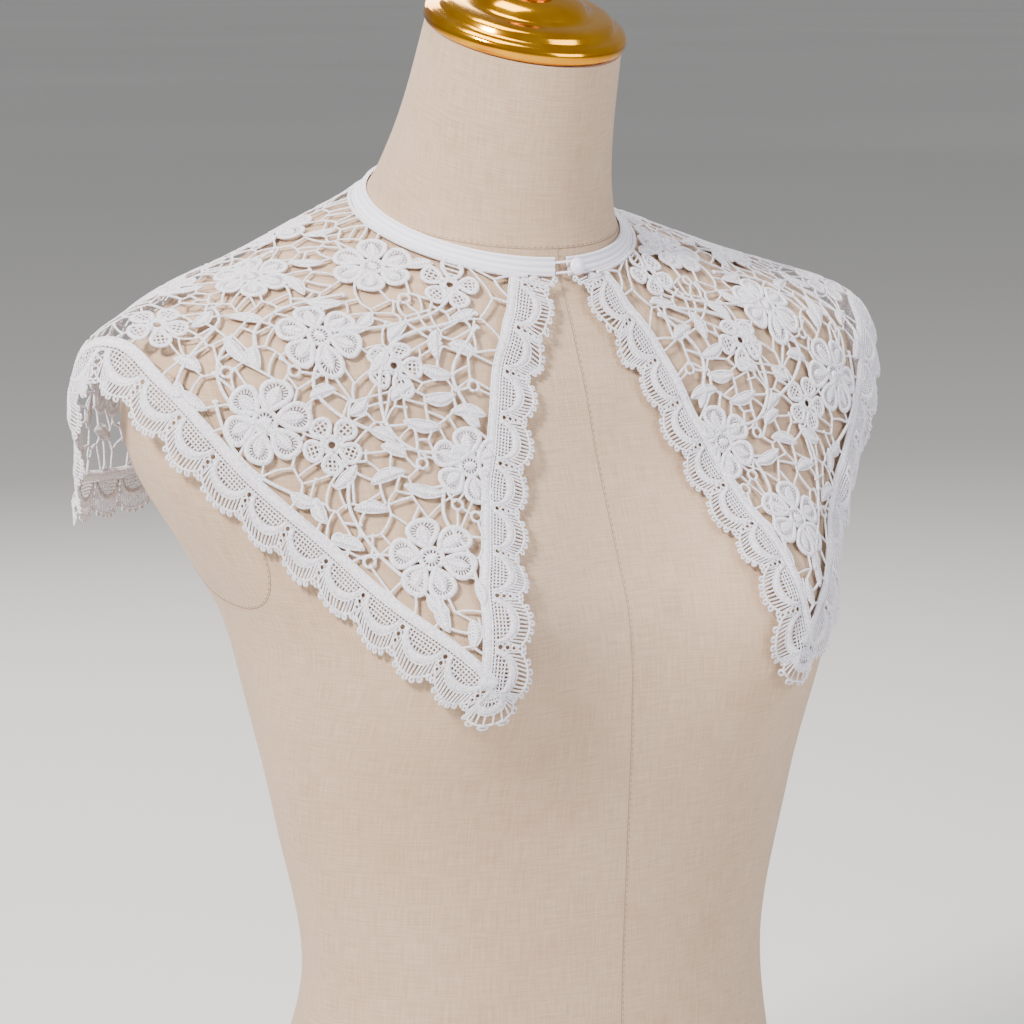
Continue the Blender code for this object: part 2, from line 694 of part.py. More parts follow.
def make_cap(collection, gold):
    """The turned metal cap on the neck, standing off it by the seam gap."""
    mesh = bmesh.new()
    verts = [mesh.verts.new((r * MM, 0, h * MM + SEAM_GAP)) for r, h in CAP_PROFILE]
    for a, b in zip(verts[:-1], verts[1:]):
        mesh.edges.new((a, b))
    data = bpy.data.meshes.new("neck_cap")
    mesh.to_mesh(data)
    mesh.free()
    piece = add_piece("neck_cap", data, gold, collection)
    turn = piece.modifiers.new("turned", "SCREW")
    turn.steps = turn.render_steps = 24
    turn.use_merge_vertices = True
    turn.merge_threshold = 0.00005
    piece.matrix_world = neck_top()
    return piece


def meridian_point(degrees, below, out):
    """A point at an angle, a real distance below the neck line and out from the cloth's surface."""
    r = neck_r(degrees, below)
    k = np.interp(r - NECK_RADIUS, REACH, REACH_ROWS)
    return surface(k, math.radians(degrees), out)


def mirrored_meridian(degrees, below, out):
    """A meridian point on either side of the centre front."""
    x, y, z = meridian_point(abs(degrees), below, out)
    return (math.copysign(x, degrees) if degrees else 0.0, y, z)


def make_band(collection, cotton):
    """The neck binding, a ribbed tape round the neck line, open at the centre front."""
    base = BAND_LIFT + BAND_THICKNESS - RIB_HEIGHT
    profile = [(0, BAND_LIFT)] + [(place, base + RIB_HEIGHT * on) for place, on in BAND_RIBS]
    profile += [(1, BAND_LIFT), (0.5, BAND_LIFT)]
    angles = np.linspace(BAND_FRONT_OPENING, 360 - BAND_FRONT_OPENING, 52)
    loops = []
    for degrees in angles:
        turned = degrees if degrees <= 180 else degrees - 360
        loops.append([mirrored_meridian(turned, BAND_WIDTH * place - BAND_ABOVE_NECK_LINE, out)
                      for place, out in profile])
    return add_piece("neck_band", loft("neck_band", loops), cotton, collection)


def mirror_mesh(data, name):
    """A mesh mirrored across the centre plane, its faces turned to point outwards again."""
    mesh = bmesh.new()
    mesh.from_mesh(data)
    bmesh.ops.scale(mesh, vec=(-1, 1, 1), verts=mesh.verts)
    bmesh.ops.reverse_faces(mesh, faces=mesh.faces)
    copy = bpy.data.meshes.new(name)
    mesh.to_mesh(copy)
    mesh.free()
    return copy


def make_lace(collection, lace):
    """The two front panels and the back panel, cut through at their largest gaps."""
    gaps = gap_polygons()[:GAPS_TO_CUT // 2]
    gaps = [polygon for _, polygon in gaps]
    satin = satin_places()
    left = lace_mesh("lace_front_left", front_outline(), gaps, satin)
    right = mirror_mesh(left, "lace_front_right")
    back = lace_mesh("lace_back", back_outline(), gaps, satin)
    pieces = [add_piece(mesh.name, mesh, lace, collection) for mesh in (left, right, back)]
    whole = pieces[2].modifiers.new("whole", "MIRROR")
    whole.use_axis = (True, False, False)
    whole.merge_threshold = 0.0001
    for piece in pieces:
        add_wall(piece)
    return pieces


def button_seat():
    """The button's place on the left end of the band, with its axis along the cloth's normal."""
    foot = Vector(meridian_point(BUTTON_ANGLE, BUTTON_BELOW, BAND_LIFT + BAND_THICKNESS + SEAM_GAP))
    head = Vector(meridian_point(BUTTON_ANGLE, BUTTON_BELOW, BAND_LIFT + BAND_THICKNESS + 1 * MM))
    turn = Vector((0, 0, 1)).rotation_difference(head - foot).to_matrix().to_4x4()
    return Matrix.Translation(foot) @ turn


def make_button(collection, pearl):
    """The domed button: a narrow foot under a round head."""
    radius = BUTTON_DIAMETER / 2
    mesh = bmesh.new()
    verts = [mesh.verts.new((radius * r, 0, BUTTON_HEIGHT * h)) for r, h in BUTTON_PROFILE]
    for a, b in zip(verts[:-1], verts[1:]):
        mesh.edges.new((a, b))
    data = bpy.data.meshes.new("button")
    mesh.to_mesh(data)
    mesh.free()
    piece = add_piece("button", data, pearl, collection)
    turn = piece.modifiers.new("turned", "SCREW")
    turn.steps = turn.render_steps = 16
    turn.use_merge_vertices = True
    turn.merge_threshold = 0.00005
    piece.matrix_world = button_seat()
    return piece


def make_loop(collection, cotton):
    """The cord loop from the band's right end, round the button's foot under its head."""
    seat = button_seat()
    radius = BUTTON_DIAMETER * 0.18 + LOOP_CORD / 2 + SEAM_GAP
    height = LOOP_CORD / 2 + 0.15 * MM
    root = seat.inverted() @ Vector(mirrored_meridian(-BAND_FRONT_OPENING + 0.4, BUTTON_BELOW,
                                                      BAND_LIFT + BAND_THICKNESS / 2))
    reach = math.hypot(root.x, root.y)
    side = Vector((root.x, root.y, 0)).normalized()
    across = Vector((-side.y, side.x, 0))
    leg = [(1.0, root.z), (0.66, root.z * 0.4), (0.46, height), (0.2, height)]
    points = [side * reach * along + across * radius + Vector((0, 0, z)) for along, z in leg]
    for i in range(9):
        angle = math.pi / 2 + i * math.pi / 8
        points.append(side * radius * math.cos(angle) + across * radius * math.sin(angle)
                      + Vector((0, 0, height)))
    points += [side * reach * along - across * radius + Vector((0, 0, z)) for along, z in reversed(leg)]
    curve = bpy.data.curves.new("button_loop", "CURVE")
    curve.dimensions = "3D"
    curve.bevel_depth = LOOP_CORD / 2
    curve.bevel_resolution = 1
    curve.use_fill_caps = True
    spline = curve.splines.new("POLY")
    spline.points.add(len(points) - 1)
    for knot, point in zip(spline.points, points):
        knot.co = (*(seat @ point), 1)
    curve.materials.append(cotton)
    piece = bpy.data.objects.new("button_loop", curve)
    collection.objects.link(piece)
    return piece


def build():
    """All the pieces, in a collection of their own."""
    for old in list(bpy.data.objects):
        bpy.data.objects.remove(old, do_unlink=True)
    collection = bpy.data.collections.new("lace_collar_on_dress_form")
    bpy.context.scene.collection.children.link(collection)
    linen = finish_material("woven_linen", (0.72, 0.62, 0.49), 0.9)
    gold = finish_material("polished_brass", (0.85, 0.55, 0.16), 0.18, 1.0)
    lace = finish_material("cotton_guipure", (0.82, 0.81, 0.85), 0.75)
    cotton = finish_material("cotton_binding", (0.83, 0.81, 0.86), 0.7)
    pearl = finish_material("pearl_resin", (0.86, 0.84, 0.9), 0.25)
    make_torso(collection, linen)
    make_cap(collection, gold)
    make_band(collection, cotton)
    make_lace(collection, lace)
    make_button(collection, pearl)
    make_loop(collection, cotton)


build()
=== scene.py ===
"""The looks of a white guipure lace collar, buttoned on a linen dress form with a gold neck cap.

Everything is in metres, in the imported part's frame. The collar is laid out on a flat plan round
the neck: r is the distance from the neck's middle and a the angle from the centre front. The
plan is draped over the form as the solids are, and each cord, petal and leaf is drawn on it.
"""

import math
from collections import namedtuple

import bmesh
import bpy
import numpy as np
from mathutils import Matrix, Vector
from mathutils.kdtree import KDTree


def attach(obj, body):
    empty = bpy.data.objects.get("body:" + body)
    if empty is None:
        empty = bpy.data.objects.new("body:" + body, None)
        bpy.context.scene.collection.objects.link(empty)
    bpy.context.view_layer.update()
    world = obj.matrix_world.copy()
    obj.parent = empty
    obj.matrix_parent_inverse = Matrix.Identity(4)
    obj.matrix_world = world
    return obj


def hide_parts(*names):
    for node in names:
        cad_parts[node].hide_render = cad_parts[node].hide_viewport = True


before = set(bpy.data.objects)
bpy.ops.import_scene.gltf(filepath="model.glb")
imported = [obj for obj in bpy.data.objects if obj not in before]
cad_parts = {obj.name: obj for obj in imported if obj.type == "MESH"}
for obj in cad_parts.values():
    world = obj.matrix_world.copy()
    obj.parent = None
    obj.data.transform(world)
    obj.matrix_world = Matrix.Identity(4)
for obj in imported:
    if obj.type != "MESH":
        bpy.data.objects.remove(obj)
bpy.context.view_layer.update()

MM = 0.001
SQUARE = [(-1, -1), (1, -1), (1, 1), (-1, 1)]

# The camera: its turn and height in degrees, its distance, and the lens and the place of the
# neck line's middle in pixels of the photograph
CAMERA_AZIMUTH = -32
CAMERA_ELEVATION = 9.5
CAMERA_DISTANCE = 1.7
PHOTO_SIDE = 1024
LENS_PIXELS = 3315
NECK_PIXEL = (493.5, 212)
SENSOR_WIDTH = 36
FLOOR_REACH = 60.0

# Main sizes, as in the part
NECK_LINE_HEIGHT = 615 * MM
TAPE_WIDTH = 5.8 * MM
SCALLOP_PITCH = 24 * MM
SCALLOP_VALLEY = 12 * MM
SCALLOP_TIP = 19.5 * MM
FRONT_END = 24 * MM
UPPER_TAPE = 9 * MM
CELL_SPACING = 10 * MM
CELL_REACH = 26 * MM
SEED_TRIES = 26000
PLAN_LOW, PLAN_HIGH = (0, -0.31), (0.26, 0.27)
BODY_MARGIN = 2.6 * MM
STRIP_MARGIN = 3.2 * MM
CORNER_STATIONS = 14
SPLIT_CELL = 54 * MM * MM
SPLIT_THRICE = 98 * MM * MM
SPLIT_PLACES = (0.35, 0.65)
LEFT_WHOLE = 0.12
MIDDLE_SHIFT = 0.8
SPLIT_BEYOND = 0.4 * MM
TIE_TURNS = (20, 140, 260)
TIE_AIM = 0.6
BAR_POINTS = 25
BAR_BOW = 0.06
BAR_HALF_WIDTHS = (0.58, 0.76)
BAR_INTO_MOTIF = 1.1 * MM
BAR_INTO_STRIP = 0.7 * MM
NECK_STRIP = 1.3 * MM
NECK_CORD = 1.1 * MM
NECK_CORD_START = 14.5
LEAF_BODY = 2.3 * MM
CELL_SEED, SPLIT_SEED, BOW_SEED, WIDTH_SEED = 7, 3, 11, 5

# How the lace lies: its height over the form, and how its free edge lifts and flares
LACE_GAP = 1.8 * MM
LACE_MIDDLE = 2.45 * MM
EDGE_LIFT = 3.2 * MM
LIFT_INSIDE = 30 * MM
LIFT_OVER = 48 * MM
SHOULDER_TIP = 96
SHOULDER_FLARE = 8 * MM
FLARE_SPREAD = 24
FLARE_INSIDE = 50 * MM
FLARE_OVER = 68 * MM
WAVE_STEP = 11 * MM

BAND_WIDTH = 10 * MM
BAND_ABOVE_NECK_LINE = 3 * MM
BAND_LIFT = 0.8 * MM
BAND_THICKNESS = 2.0 * MM
BAND_FRONT_OPENING = 3.3
LACE_TOP = BAND_WIDTH - BAND_ABOVE_NECK_LINE + 0.3 * MM
BUTTON_DIAMETER = 9 * MM
BUTTON_HEIGHT = 4.2 * MM
BUTTON_ANGLE = 6.0
BUTTON_BELOW = 2.5 * MM
LOOP_CORD = 1.4 * MM

# The form's cross sections, top to bottom. Heights are from the neck line, y is the middle
# of the section, tilt leans it forwards, square is the power of its superellipse.
FORM_COLUMNS = ("z", "y", "tilt", "half", "front", "back", "square")
FORM = dict(zip(FORM_COLUMNS, np.array([
    [92, -29, 19, 49, 49, 49, 2.0],
    [50, -15, 19, 53, 52, 53, 2.0],
    [20, -5, 19, 59, 56, 58, 2.0],
    [0, 0, 19, 67, 62, 65, 2.0],
    [-10, 1, 18, 86, 65, 69, 2.0],
    [-18, 1, 16, 112, 68, 74, 2.0],
    [-30, 0, 13, 146, 71, 79, 2.0],
    [-42, -3, 10, 178, 72, 85, 2.1],
    [-58, -8, 7, 203, 72, 90, 2.2],
    [-78, -13, 5, 211, 74, 94, 2.3],
    [-115, -21, 3, 208, 77, 101, 2.4],
    [-160, -31, 1, 182, 83, 109, 2.5],
    [-195, -38, 0, 163, 87, 111, 2.5],
    [-240, -42, 0, 153, 86, 107, 2.4],
    [-300, -44, 0, 143, 82, 94, 2.2],
    [-380, -42, 0, 130, 80, 84, 2.1],
    [-460, -30, 0, 146, 92, 102, 2.1],
    [-540, -24, 0, 166, 104, 118, 2.2],
    [-615, -24, 0, 170, 106, 120, 2.2],
], float).T))
SECTIONS = len(FORM["z"])
NECK_ROW = 3
NECK_RADIUS = 66 * MM
FORM_SIDES = 144
FAR_ACROSS = 9.0
SEAM_SUNK = 0.22 * MM
STITCHES_ASIDE = 0.9 * MM
ARM_SEAM_ROW = 9.9
ARM_SEAM_ROWS = 1.75
BUST_X = 93
BUST_Z = -198
BUST_ACROSS = 52
BUST_UP = 60
BUST_DEPTH = 28
SHOULDER_OVERHANG = 15
OVERHANG_FROM = 120
OVERHANG_OVER = 85

# The collar's edge on the plan, in millimetres: x to the side, y to the back.
FRONT_EDGE = [(23, -84), (28, -134), (32, -171), (40, -202), (54, -231), (82, -260), (123, -279),
              (178, -300)]
SIDE_EDGE = [(178, -300), (212, -232), (208, -170), (199, -90), (193, -49), (187, -16), (190, 12),
             (199, 32), (213, 46), (249, 67)]
BACK_EDGE = [(249, 67), (225, 132), (184, 186), (100, 237), (0, 258)]
SHOULDER_ANGLE = 97.5

# Flowers: r and a on the plan, petals, size across, turn in degrees
Flower = namedtuple("Flower", "r a petals across turn")
FLOWERS = [Flower(*row) for row in (
    (92, 63, 6, 43, 10),
    (160, 46, 6, 43, 0),
    (213, 50, 6, 43, 20),
    (239, 17, 6, 41, 5),
    (284, 30, 6, 43, 12),
    (95, 35, 5, 30, 0),
    (184, 28, 5, 30, 30),
    (225, 38, 5, 30, 10),
    (169, 84, 5, 30, 20),
    (123, 88, 6, 40, 0),
    (112, 124, 6, 43, 15),
    (167, 152, 6, 43, 0),
    (208, 121, 6, 43, 25),
    (225, 166, 6, 41, 10),
    (152, 109, 5, 30, 0),
    (108, 160, 5, 30, 15),
    (172, 180, 5, 30, 0),
    (229, 142, 5, 30, 20),
)]

# Leaves: r and a of the middle on the plan, turn from the downward line, length
Leaf = namedtuple("Leaf", "r a turn length")
LEAF_WIDTH = 5.8 * MM
LEAVES = [Leaf(*row) for row in (
    (119, 72, -85, 19), (104, 82, -135, 17), (141, 42, -15, 12), (166, 23, -35, 15), (154, 32, 175, 14),
    (128, 24, -160, 13), (172, 18, -105, 14), (188, 21, -95, 17), (200, 26, -130, 12), (203, 20, -105, 16),
    (212, 16, -85, 18), (216, 23, -80, 19), (199, 39, -115, 13), (206, 33, -135, 12), (152, 67, -120, 18),
    (241, 37, -120, 15), (242, 30, -95, 18), (249, 25, -60, 20), (258, 35, -60, 16), (258, 44, 5, 13),
    (276, 43, -40, 16), (312, 34, 15, 17), (322, 31, 25, 13), (158, 77, 170, 15), (187, 69, -85, 14),
    (175, 60, -70, 20), (82, 52, -150, 13), (127, 57, -140, 18), (229, 28, -60, 13), (204, 66, -50, 15),
    (145, 98, 30, 18), (90, 100, -155, 16), (83, 143, 40, 14), (140, 130, 60, 18), (140, 174, -30, 17),
    (196, 100, 20, 18), (222, 111, -20, 16), (236, 119, 70, 18), (186, 136, 30, 18), (196, 176, 60, 18),
    (203, 154, -60, 17), (238, 131, 80, 16), (244, 153, 95, 17), (178, 126, 150, 16), (130, 143, 120, 15),
)]

# Eyelet rings: r and a on the plan
RING_ACROSS = 6.8 * MM
RING_MIDDLE = 2.65 * MM
RINGS = [
    (236, 24), (258, 21), (265, 19), (285, 41), (189, 59), (187, 45), (198, 15), (273, 44), (114, 41),
    (142, 118), (186, 108), (137, 160), (195, 165), (214, 138), (243, 112), (248, 172),
]

# Bars across the long openings by the points of the collar: r and a of their two ends
POINT_BARS = [
    ((311, 31.8), (316, 29.7)), ((321.5, 31.3), (319, 34.5)), ((328, 31.9), (328.5, 34)),
    ((328.5, 31.8), (331.5, 30.5)), ((302.5, 36.8), (312, 39.3)),
]

# Stems: plan places in millimetres that each runs through
STEMS = [
    [(84, -143), (96, -169), (103, -190), (96, -208), (76, -219)],
    [(46, -140), (52, -160), (60, -182), (58, -200)],
    [(150, -72), (166, -92), (172, -112), (168, -132)],
    [(56, -94), (66, -112), (84, -120), (96, -118)],
    [(46, -118), (60, -130), (78, -136), (90, -150)],
    [(98, -66), (120, -62), (138, -74), (144, -96)],
    [(146, -28), (150, -48), (166, -62), (186, -66)],
    [(178, -100), (190, -118), (192, -144), (184, -168)],
    [(118, -134), (128, -150), (124, -170), (112, -188)],
    [(146, -196), (164, -204), (176, -224), (172, -250)],
    [(94, -232), (108, -242), (112, -258), (126, -270)],
    [(142, 62), (160, 78), (166, 98), (158, 118)],
    [(60, 118), (78, 138), (84, 160), (76, 182)],
    [(108, 18), (124, 26), (130, 42), (126, 58)],
    [(98, 90), (116, 100), (138, 98), (154, 86)],
    [(110, 118), (122, 138), (118, 160), (100, 178)],
    [(14, 126), (32, 132), (48, 124), (56, 108)],
    [(20, 196), (38, 188), (56, 194), (66, 206)],
    [(176, 132), (182, 150), (174, 166), (160, 176)],
    [(88, 198), (104, 208), (124, 202), (136, 190)],
    [(182, 34), (176, 54), (182, 74), (180, 90)],
]


def smooth_step(t):
    """0 below 0, 1 above 1, and a smooth rise between."""
    t = np.clip(t, 0, 1)
    return t * t * (3 - 2 * t)


def hanging(form):
    """The sections with the side and back hung straight down from their widest place."""
    half = np.maximum.accumulate(form["half"])
    reach = np.maximum.accumulate(form["y"] + form["back"])
    overhang = SHOULDER_OVERHANG * smooth_step((half - OVERHANG_FROM) / OVERHANG_OVER)
    return {**form, "half": half + overhang, "back": reach - form["y"]}


CLOTH = hanging(FORM)


def row_value(rows, k):
    """A column of a table at the fractional row k, through a Catmull-Rom curve."""
    k = np.clip(np.asarray(k, float), 0, len(rows) - 1)
    i = np.minimum(k.astype(int), len(rows) - 2)
    t = k - i
    before, start = rows[np.maximum(i - 1, 0)], rows[i]
    end, after = rows[i + 1], rows[np.minimum(i + 2, len(rows) - 1)]
    cubic = 3 * (start - end) + after - before
    square = 2 * before - 5 * start + 4 * end - after
    return start + 0.5 * t * (end - before + t * (square + t * cubic))


def ring_point(k, angle, cloth):
    """A point of section k, at the angle from the front; cloth is True on the hanging cloth."""
    z, y, tilt, half, front, back, square = [row_value(FORM[name], k) for name in FORM_COLUMNS]
    if cloth:
        side = smooth_step((np.degrees(np.abs(angle)) - 65) / 32)
        half = half + side * (row_value(CLOTH["half"], k) - half)
        back = row_value(CLOTH["back"], k)
    sine, cosine = np.sin(angle), np.cos(angle)
    x = half * np.sign(sine) * np.abs(sine) ** (2 / square)
    depth = np.where(cosine > 0, front, back)
    dy = -depth * np.sign(cosine) * np.abs(cosine) ** (2 / square)
    z = z + np.tan(np.radians(tilt)) * dy
    up = np.exp(-((z - BUST_Z) / BUST_UP) ** 2)
    bust = sum(np.exp(-((x - side * BUST_X) / BUST_ACROSS) ** 2) for side in (-1, 1)) * up
    y = y + dy - BUST_DEPTH * bust * smooth_step(3 * cosine)
    points = np.stack(np.broadcast_arrays(x, y, z), -1) * MM
    points[..., 2] += NECK_LINE_HEIGHT
    return points


def surface(k, angle, out, cloth=True):
    """The form's or the cloth's surface, moved out along its normal."""
    k, angle = np.asarray(k, float), np.asarray(angle, float)
    step = 1e-3
    along = ring_point(k, angle + step, cloth) - ring_point(k, angle - step, cloth)
    down = ring_point(k + step, angle, cloth) - ring_point(k - step, angle, cloth)
    normal = np.cross(down, along)
    normal /= np.linalg.norm(normal, axis=-1, keepdims=True)
    return ring_point(k, angle, cloth) + normal * np.asarray(out)[..., None]


def plan_reach():
    """How far each fractional section lies from the neck line, as a mean all round."""
    k = np.linspace(0, SECTIONS - 1, 361)
    angle = np.radians(np.arange(2.5, 180, 5))
    points = ring_point(k[:, None], angle[None, :], True)
    steps = np.linalg.norm(np.diff(points, axis=0), axis=-1).mean(1)
    reach = np.concatenate([[0], np.cumsum(steps)])
    return k, reach - np.interp(NECK_ROW, k, reach)


REACH_ROWS, REACH = plan_reach()


def plan(r, degrees):
    """A plan place in metres from its r in millimetres and its angle."""
    angle = np.radians(degrees)
    return np.array([r * math.sin(angle), -r * math.cos(angle)]) * MM


def drape(xy, out):
    """Plan places draped over the form, moved out from the cloth's surface."""
    xy = np.asarray(xy, float)
    k = np.interp(np.hypot(xy[..., 0], xy[..., 1]) - NECK_RADIUS, REACH, REACH_ROWS)
    return surface(k, np.arctan2(xy[..., 0], -xy[..., 1]), out)


def frame_at(xy):
    """The cloth's point, its across, down and outward directions, and the plan's steps for them."""
    xy = np.asarray(xy, float)
    step = 0.2 * MM
    point = drape(xy, 0.0)
    gx = (drape(xy + [step, 0], 0.0) - point) / step
    gy = (drape(xy + [0, step], 0.0) - point) / step
    radial = xy / np.linalg.norm(xy, axis=-1, keepdims=True)
    down = radial[..., :1] * gx + radial[..., 1:] * gy
    down /= np.linalg.norm(down, axis=-1, keepdims=True)
    outward = np.cross(gx, gy)
    outward /= np.linalg.norm(outward, axis=-1, keepdims=True)
    across = np.cross(outward, down)
    jacobian = np.stack([gx, gy], -1)
    to_plan = np.linalg.pinv(jacobian) @ np.stack([across, down], -1)
    return point, across, down, outward, to_plan


def curve_through(points, step=2 * MM):
    """A Catmull-Rom curve through plan points in millimetres, sampled evenly on the cloth."""
    p = np.array(points, float) * MM
    t = np.linspace(0, len(p) - 1, 60 * len(p))
    xy = np.stack([row_value(p[:, 0], t), row_value(p[:, 1], t)], -1)
    length = np.concatenate([[0], np.cumsum(np.linalg.norm(np.diff(drape(xy, 0.0), axis=0), axis=1))])
    at = np.linspace(0, length[-1], max(2, round(length[-1] / step)) + 1)
    return np.stack([np.interp(at, length, xy[:, 0]), np.interp(at, length, xy[:, 1])], -1)


def edge_stations():
    """Stations along the tape's outer edge: the length so far, the plan place, and the plan's
    step for a metre outwards. At a sharp corner the stations fan out around the corner."""
    length, place, outwards = [], [], []
    run = 0.0
    for edge in (FRONT_EDGE, SIDE_EDGE, BACK_EDGE):
        xy = curve_through(edge)
        point, across, down, normal, to_plan = frame_at(xy)
        tangent = np.gradient(point, axis=0)
        tangent /= np.linalg.norm(tangent, axis=1, keepdims=True)
        side = np.cross(tangent, normal)
        local = np.stack([(side * across).sum(1), (side * down).sum(1)], -1)
        steps = np.einsum("nij,nj->ni", to_plan, local)
        if length:
            for i in range(1, CORNER_STATIONS):
                mix = i / CORNER_STATIONS
                facing = (1 - mix) * last_side + mix * side[0]
                facing /= np.linalg.norm(facing)
                run += SCALLOP_VALLEY * math.acos(np.clip(last_side @ side[0], -1, 1)) / CORNER_STATIONS
                length.append(run)
                place.append(xy[0])
                outwards.append(to_plan[0] @ [facing @ across[0], facing @ down[0]])
        for i in range(len(xy)):
            if i:
                run += np.linalg.norm(point[i] - point[i - 1])
            length.append(run)
            place.append(xy[i])
            outwards.append(steps[i])
        last_side = side[-1]
    return np.array(length), np.array(place), np.array(outwards)


def carried_on(length, place, outwards):
    """The stations with one more before the first, straight on from it."""
    step = (place[0] - place[1]) / (length[1] - length[0])
    return (np.concatenate([[-FRONT_END], length]),
            np.concatenate([[place[0] + step * FRONT_END], place]),
            np.concatenate([outwards[:1], outwards]))


EDGE_LENGTH, EDGE_PLACE, EDGE_OUT = carried_on(*edge_stations())
SCALLOPS = round(EDGE_LENGTH[-1] / SCALLOP_PITCH)
PITCH = EDGE_LENGTH[-1] / SCALLOPS


def edge_places(length, out):
    """Plan places at lengths along the tape's outer edge, each moved outwards."""
    length, out = np.broadcast_arrays(np.asarray(length, float), np.asarray(out, float))
    x, y, step_x, step_y = [np.interp(length, EDGE_LENGTH, c) for c in (*EDGE_PLACE.T, *EDGE_OUT.T)]
    return np.stack([x + step_x * out, y + step_y * out], -1)


def scallop_reach(phase):
    """How far the scalloped edge stands out at a phase from 0 to 1 of one scallop."""
    return SCALLOP_VALLEY + (SCALLOP_TIP - SCALLOP_VALLEY) * np.sin(math.pi * phase) ** 0.6


def neck_r(degrees, below):
    """The plan's r at an angle, at a real distance below the neck line."""
    k = np.linspace(NECK_ROW - 1, NECK_ROW + 5, 121)
    points = ring_point(k, math.radians(degrees), True)
    run = np.concatenate([[0], np.cumsum(np.linalg.norm(np.diff(points, axis=0), axis=1))])
    run -= np.interp(NECK_ROW, k, run)
    return np.interp(np.interp(below, run, k), REACH_ROWS, REACH) + NECK_RADIUS


def neck_edge(start, end, count, below=LACE_TOP):
    """Plan places along the lace's neck edge between two angles."""
    return np.array([plan(neck_r(a, below) / MM, a) for a in np.linspace(start, end, count)])


NECK_ANGLES = np.linspace(0, 180, 91)
NECK_EDGE_R = np.array([neck_r(a, LACE_TOP + 0.4 * MM) for a in NECK_ANGLES])


def angle_of(places):
    """The angle of plan places from the centre front, in degrees."""
    return np.degrees(np.abs(np.arctan2(places[..., 0], -places[..., 1])))


def below_band(places):
    """Whether plan places lie below the neck band."""
    edge_r = np.interp(angle_of(places), NECK_ANGLES, NECK_EDGE_R)
    return np.hypot(places[:, 0], places[:, 1]) > edge_r


def near_side(places):
    """Plan places with those of the far half mirrored onto the half plan."""
    return np.stack([np.abs(places[:, 0]), places[:, 1]], -1)


def local_places(centre, offsets):
    """Plan places for real offsets (across, down) in metres from a plan place."""
    return centre + np.asarray(offsets, float) @ frame_at(centre)[4].T


TAPE_MIDDLE = edge_places(np.linspace(0, EDGE_LENGTH[-1], 3 * SCALLOPS + 1), -TAPE_WIDTH / 2)
NECK_CLOSING = neck_edge(14, 180, 40)[::-1]
TAPE_OUTLINE = np.array([*TAPE_MIDDLE, *NECK_CLOSING])
EDGE_OUTLINE = np.array([*EDGE_PLACE, *NECK_CLOSING])


def inside(outline, xy):
    """Whether plan places lie inside a closed outline."""
    x, y = xy[:, 0][:, None], xy[:, 1][:, None]
    x1, y1 = outline.T
    x2, y2 = np.roll(outline, -1, axis=0).T
    crosses = ((y1 > y) != (y2 > y)) & (x < (x2 - x1) * (y - y1) / (y2 - y1 + 1e-15) + x1)
    return crosses.sum(1) % 2 == 1


def inside_tape(xy):
    """Whether plan places of the half plan lie inside the middle of the tape."""
    return inside(TAPE_OUTLINE, xy)


def inside_edge(xy):
    """Whether plan places of the half plan lie inside the tape's outer edge."""
    return inside(EDGE_OUTLINE, xy)


def direction(degrees):
    """A step of one metre at a turn from the downward line, as (across, down)."""
    return np.array([math.sin(math.radians(degrees)), math.cos(math.radians(degrees))])


def turned(points, degrees):
    """Offsets (out, aside) from a motif's middle, turned from the downward line."""
    out, aside = direction(degrees), direction(degrees + 90)
    return points[..., :1] * out + points[..., 1:] * aside


def petal_loop(near, far, half_width, count, pinch=0.6):
    """The outline of a petal as (out, aside) from the flower's middle, narrow where it starts."""
    t = np.linspace(0, 2 * math.pi, count, endpoint=False)
    way = (1 - np.cos(t)) / 2
    aside = np.sin(t) * way ** pinch
    return np.stack([near + (far - near) * way, aside * half_width / aside.max()], -1)


class Work:
    """The threads and the satin pads of one piece of lace. Threads are lines of plan places
    with a half width; pads are grids of plan places that swell in the middle."""

    def __init__(self, twins):
        self.twins = twins
        self.lines = {"round": [], "flat": []}
        self.pads = []

    def motif_thread(self, places, half, closed=False, kind="round", out=LACE_MIDDLE, alone=False,
                     allowed=inside_tape):
        """The stretch of a motif's thread that lies inside the tape, or where allowed says."""
        inside = allowed(places * [np.sign(places[:, 0].mean() + 1e-9), 1]) | alone
        if inside.all():
            self.thread(places, half, closed, kind, out, alone)
        elif inside.sum() > 1:
            start = int(np.argmax(inside & ~np.roll(inside, 1))) if closed else 0
            kept = np.roll(places, -start, axis=0)[np.roll(inside, -start)]
            self.thread(kept, half, False, kind, out, alone)

    def thread(self, places, half, closed=False, kind="round", out=LACE_MIDDLE, alone=False):
        """One thread. alone keeps it from being mirrored on a piece that has twins."""
        places = np.asarray(places, float)
        self.lines[kind].append((places, half, closed, out))
        if self.twins and not alone:
            self.lines[kind].append((places * [-1, 1], half, closed, out))

    def pad(self, places, along, across, swell, base=LACE_GAP, alone=False):
        """One pad from a grid (stations, across, 2), its lengths along and its places across."""
        places = np.asarray(places, float)
        self.pads.append((places, along, across, swell, base))
        if self.twins and not alone:
            self.pads.append((places[:, ::-1] * [-1, 1], along, across[::-1], swell, base))


def strip_grid(left, right, count):
    """A grid of places between two lines, and the places across from -1 to 1."""
    across = np.linspace(-1, 1, count)
    mix = ((across + 1) / 2)[None, :, None]
    return left[:, None] * (1 - mix) + right[:, None] * mix, across


def run_of(places):
    """The real length along a line of plan places."""
    return np.concatenate([[0], np.cumsum(np.linalg.norm(np.diff(drape(places, 0.0), axis=0), axis=1))])


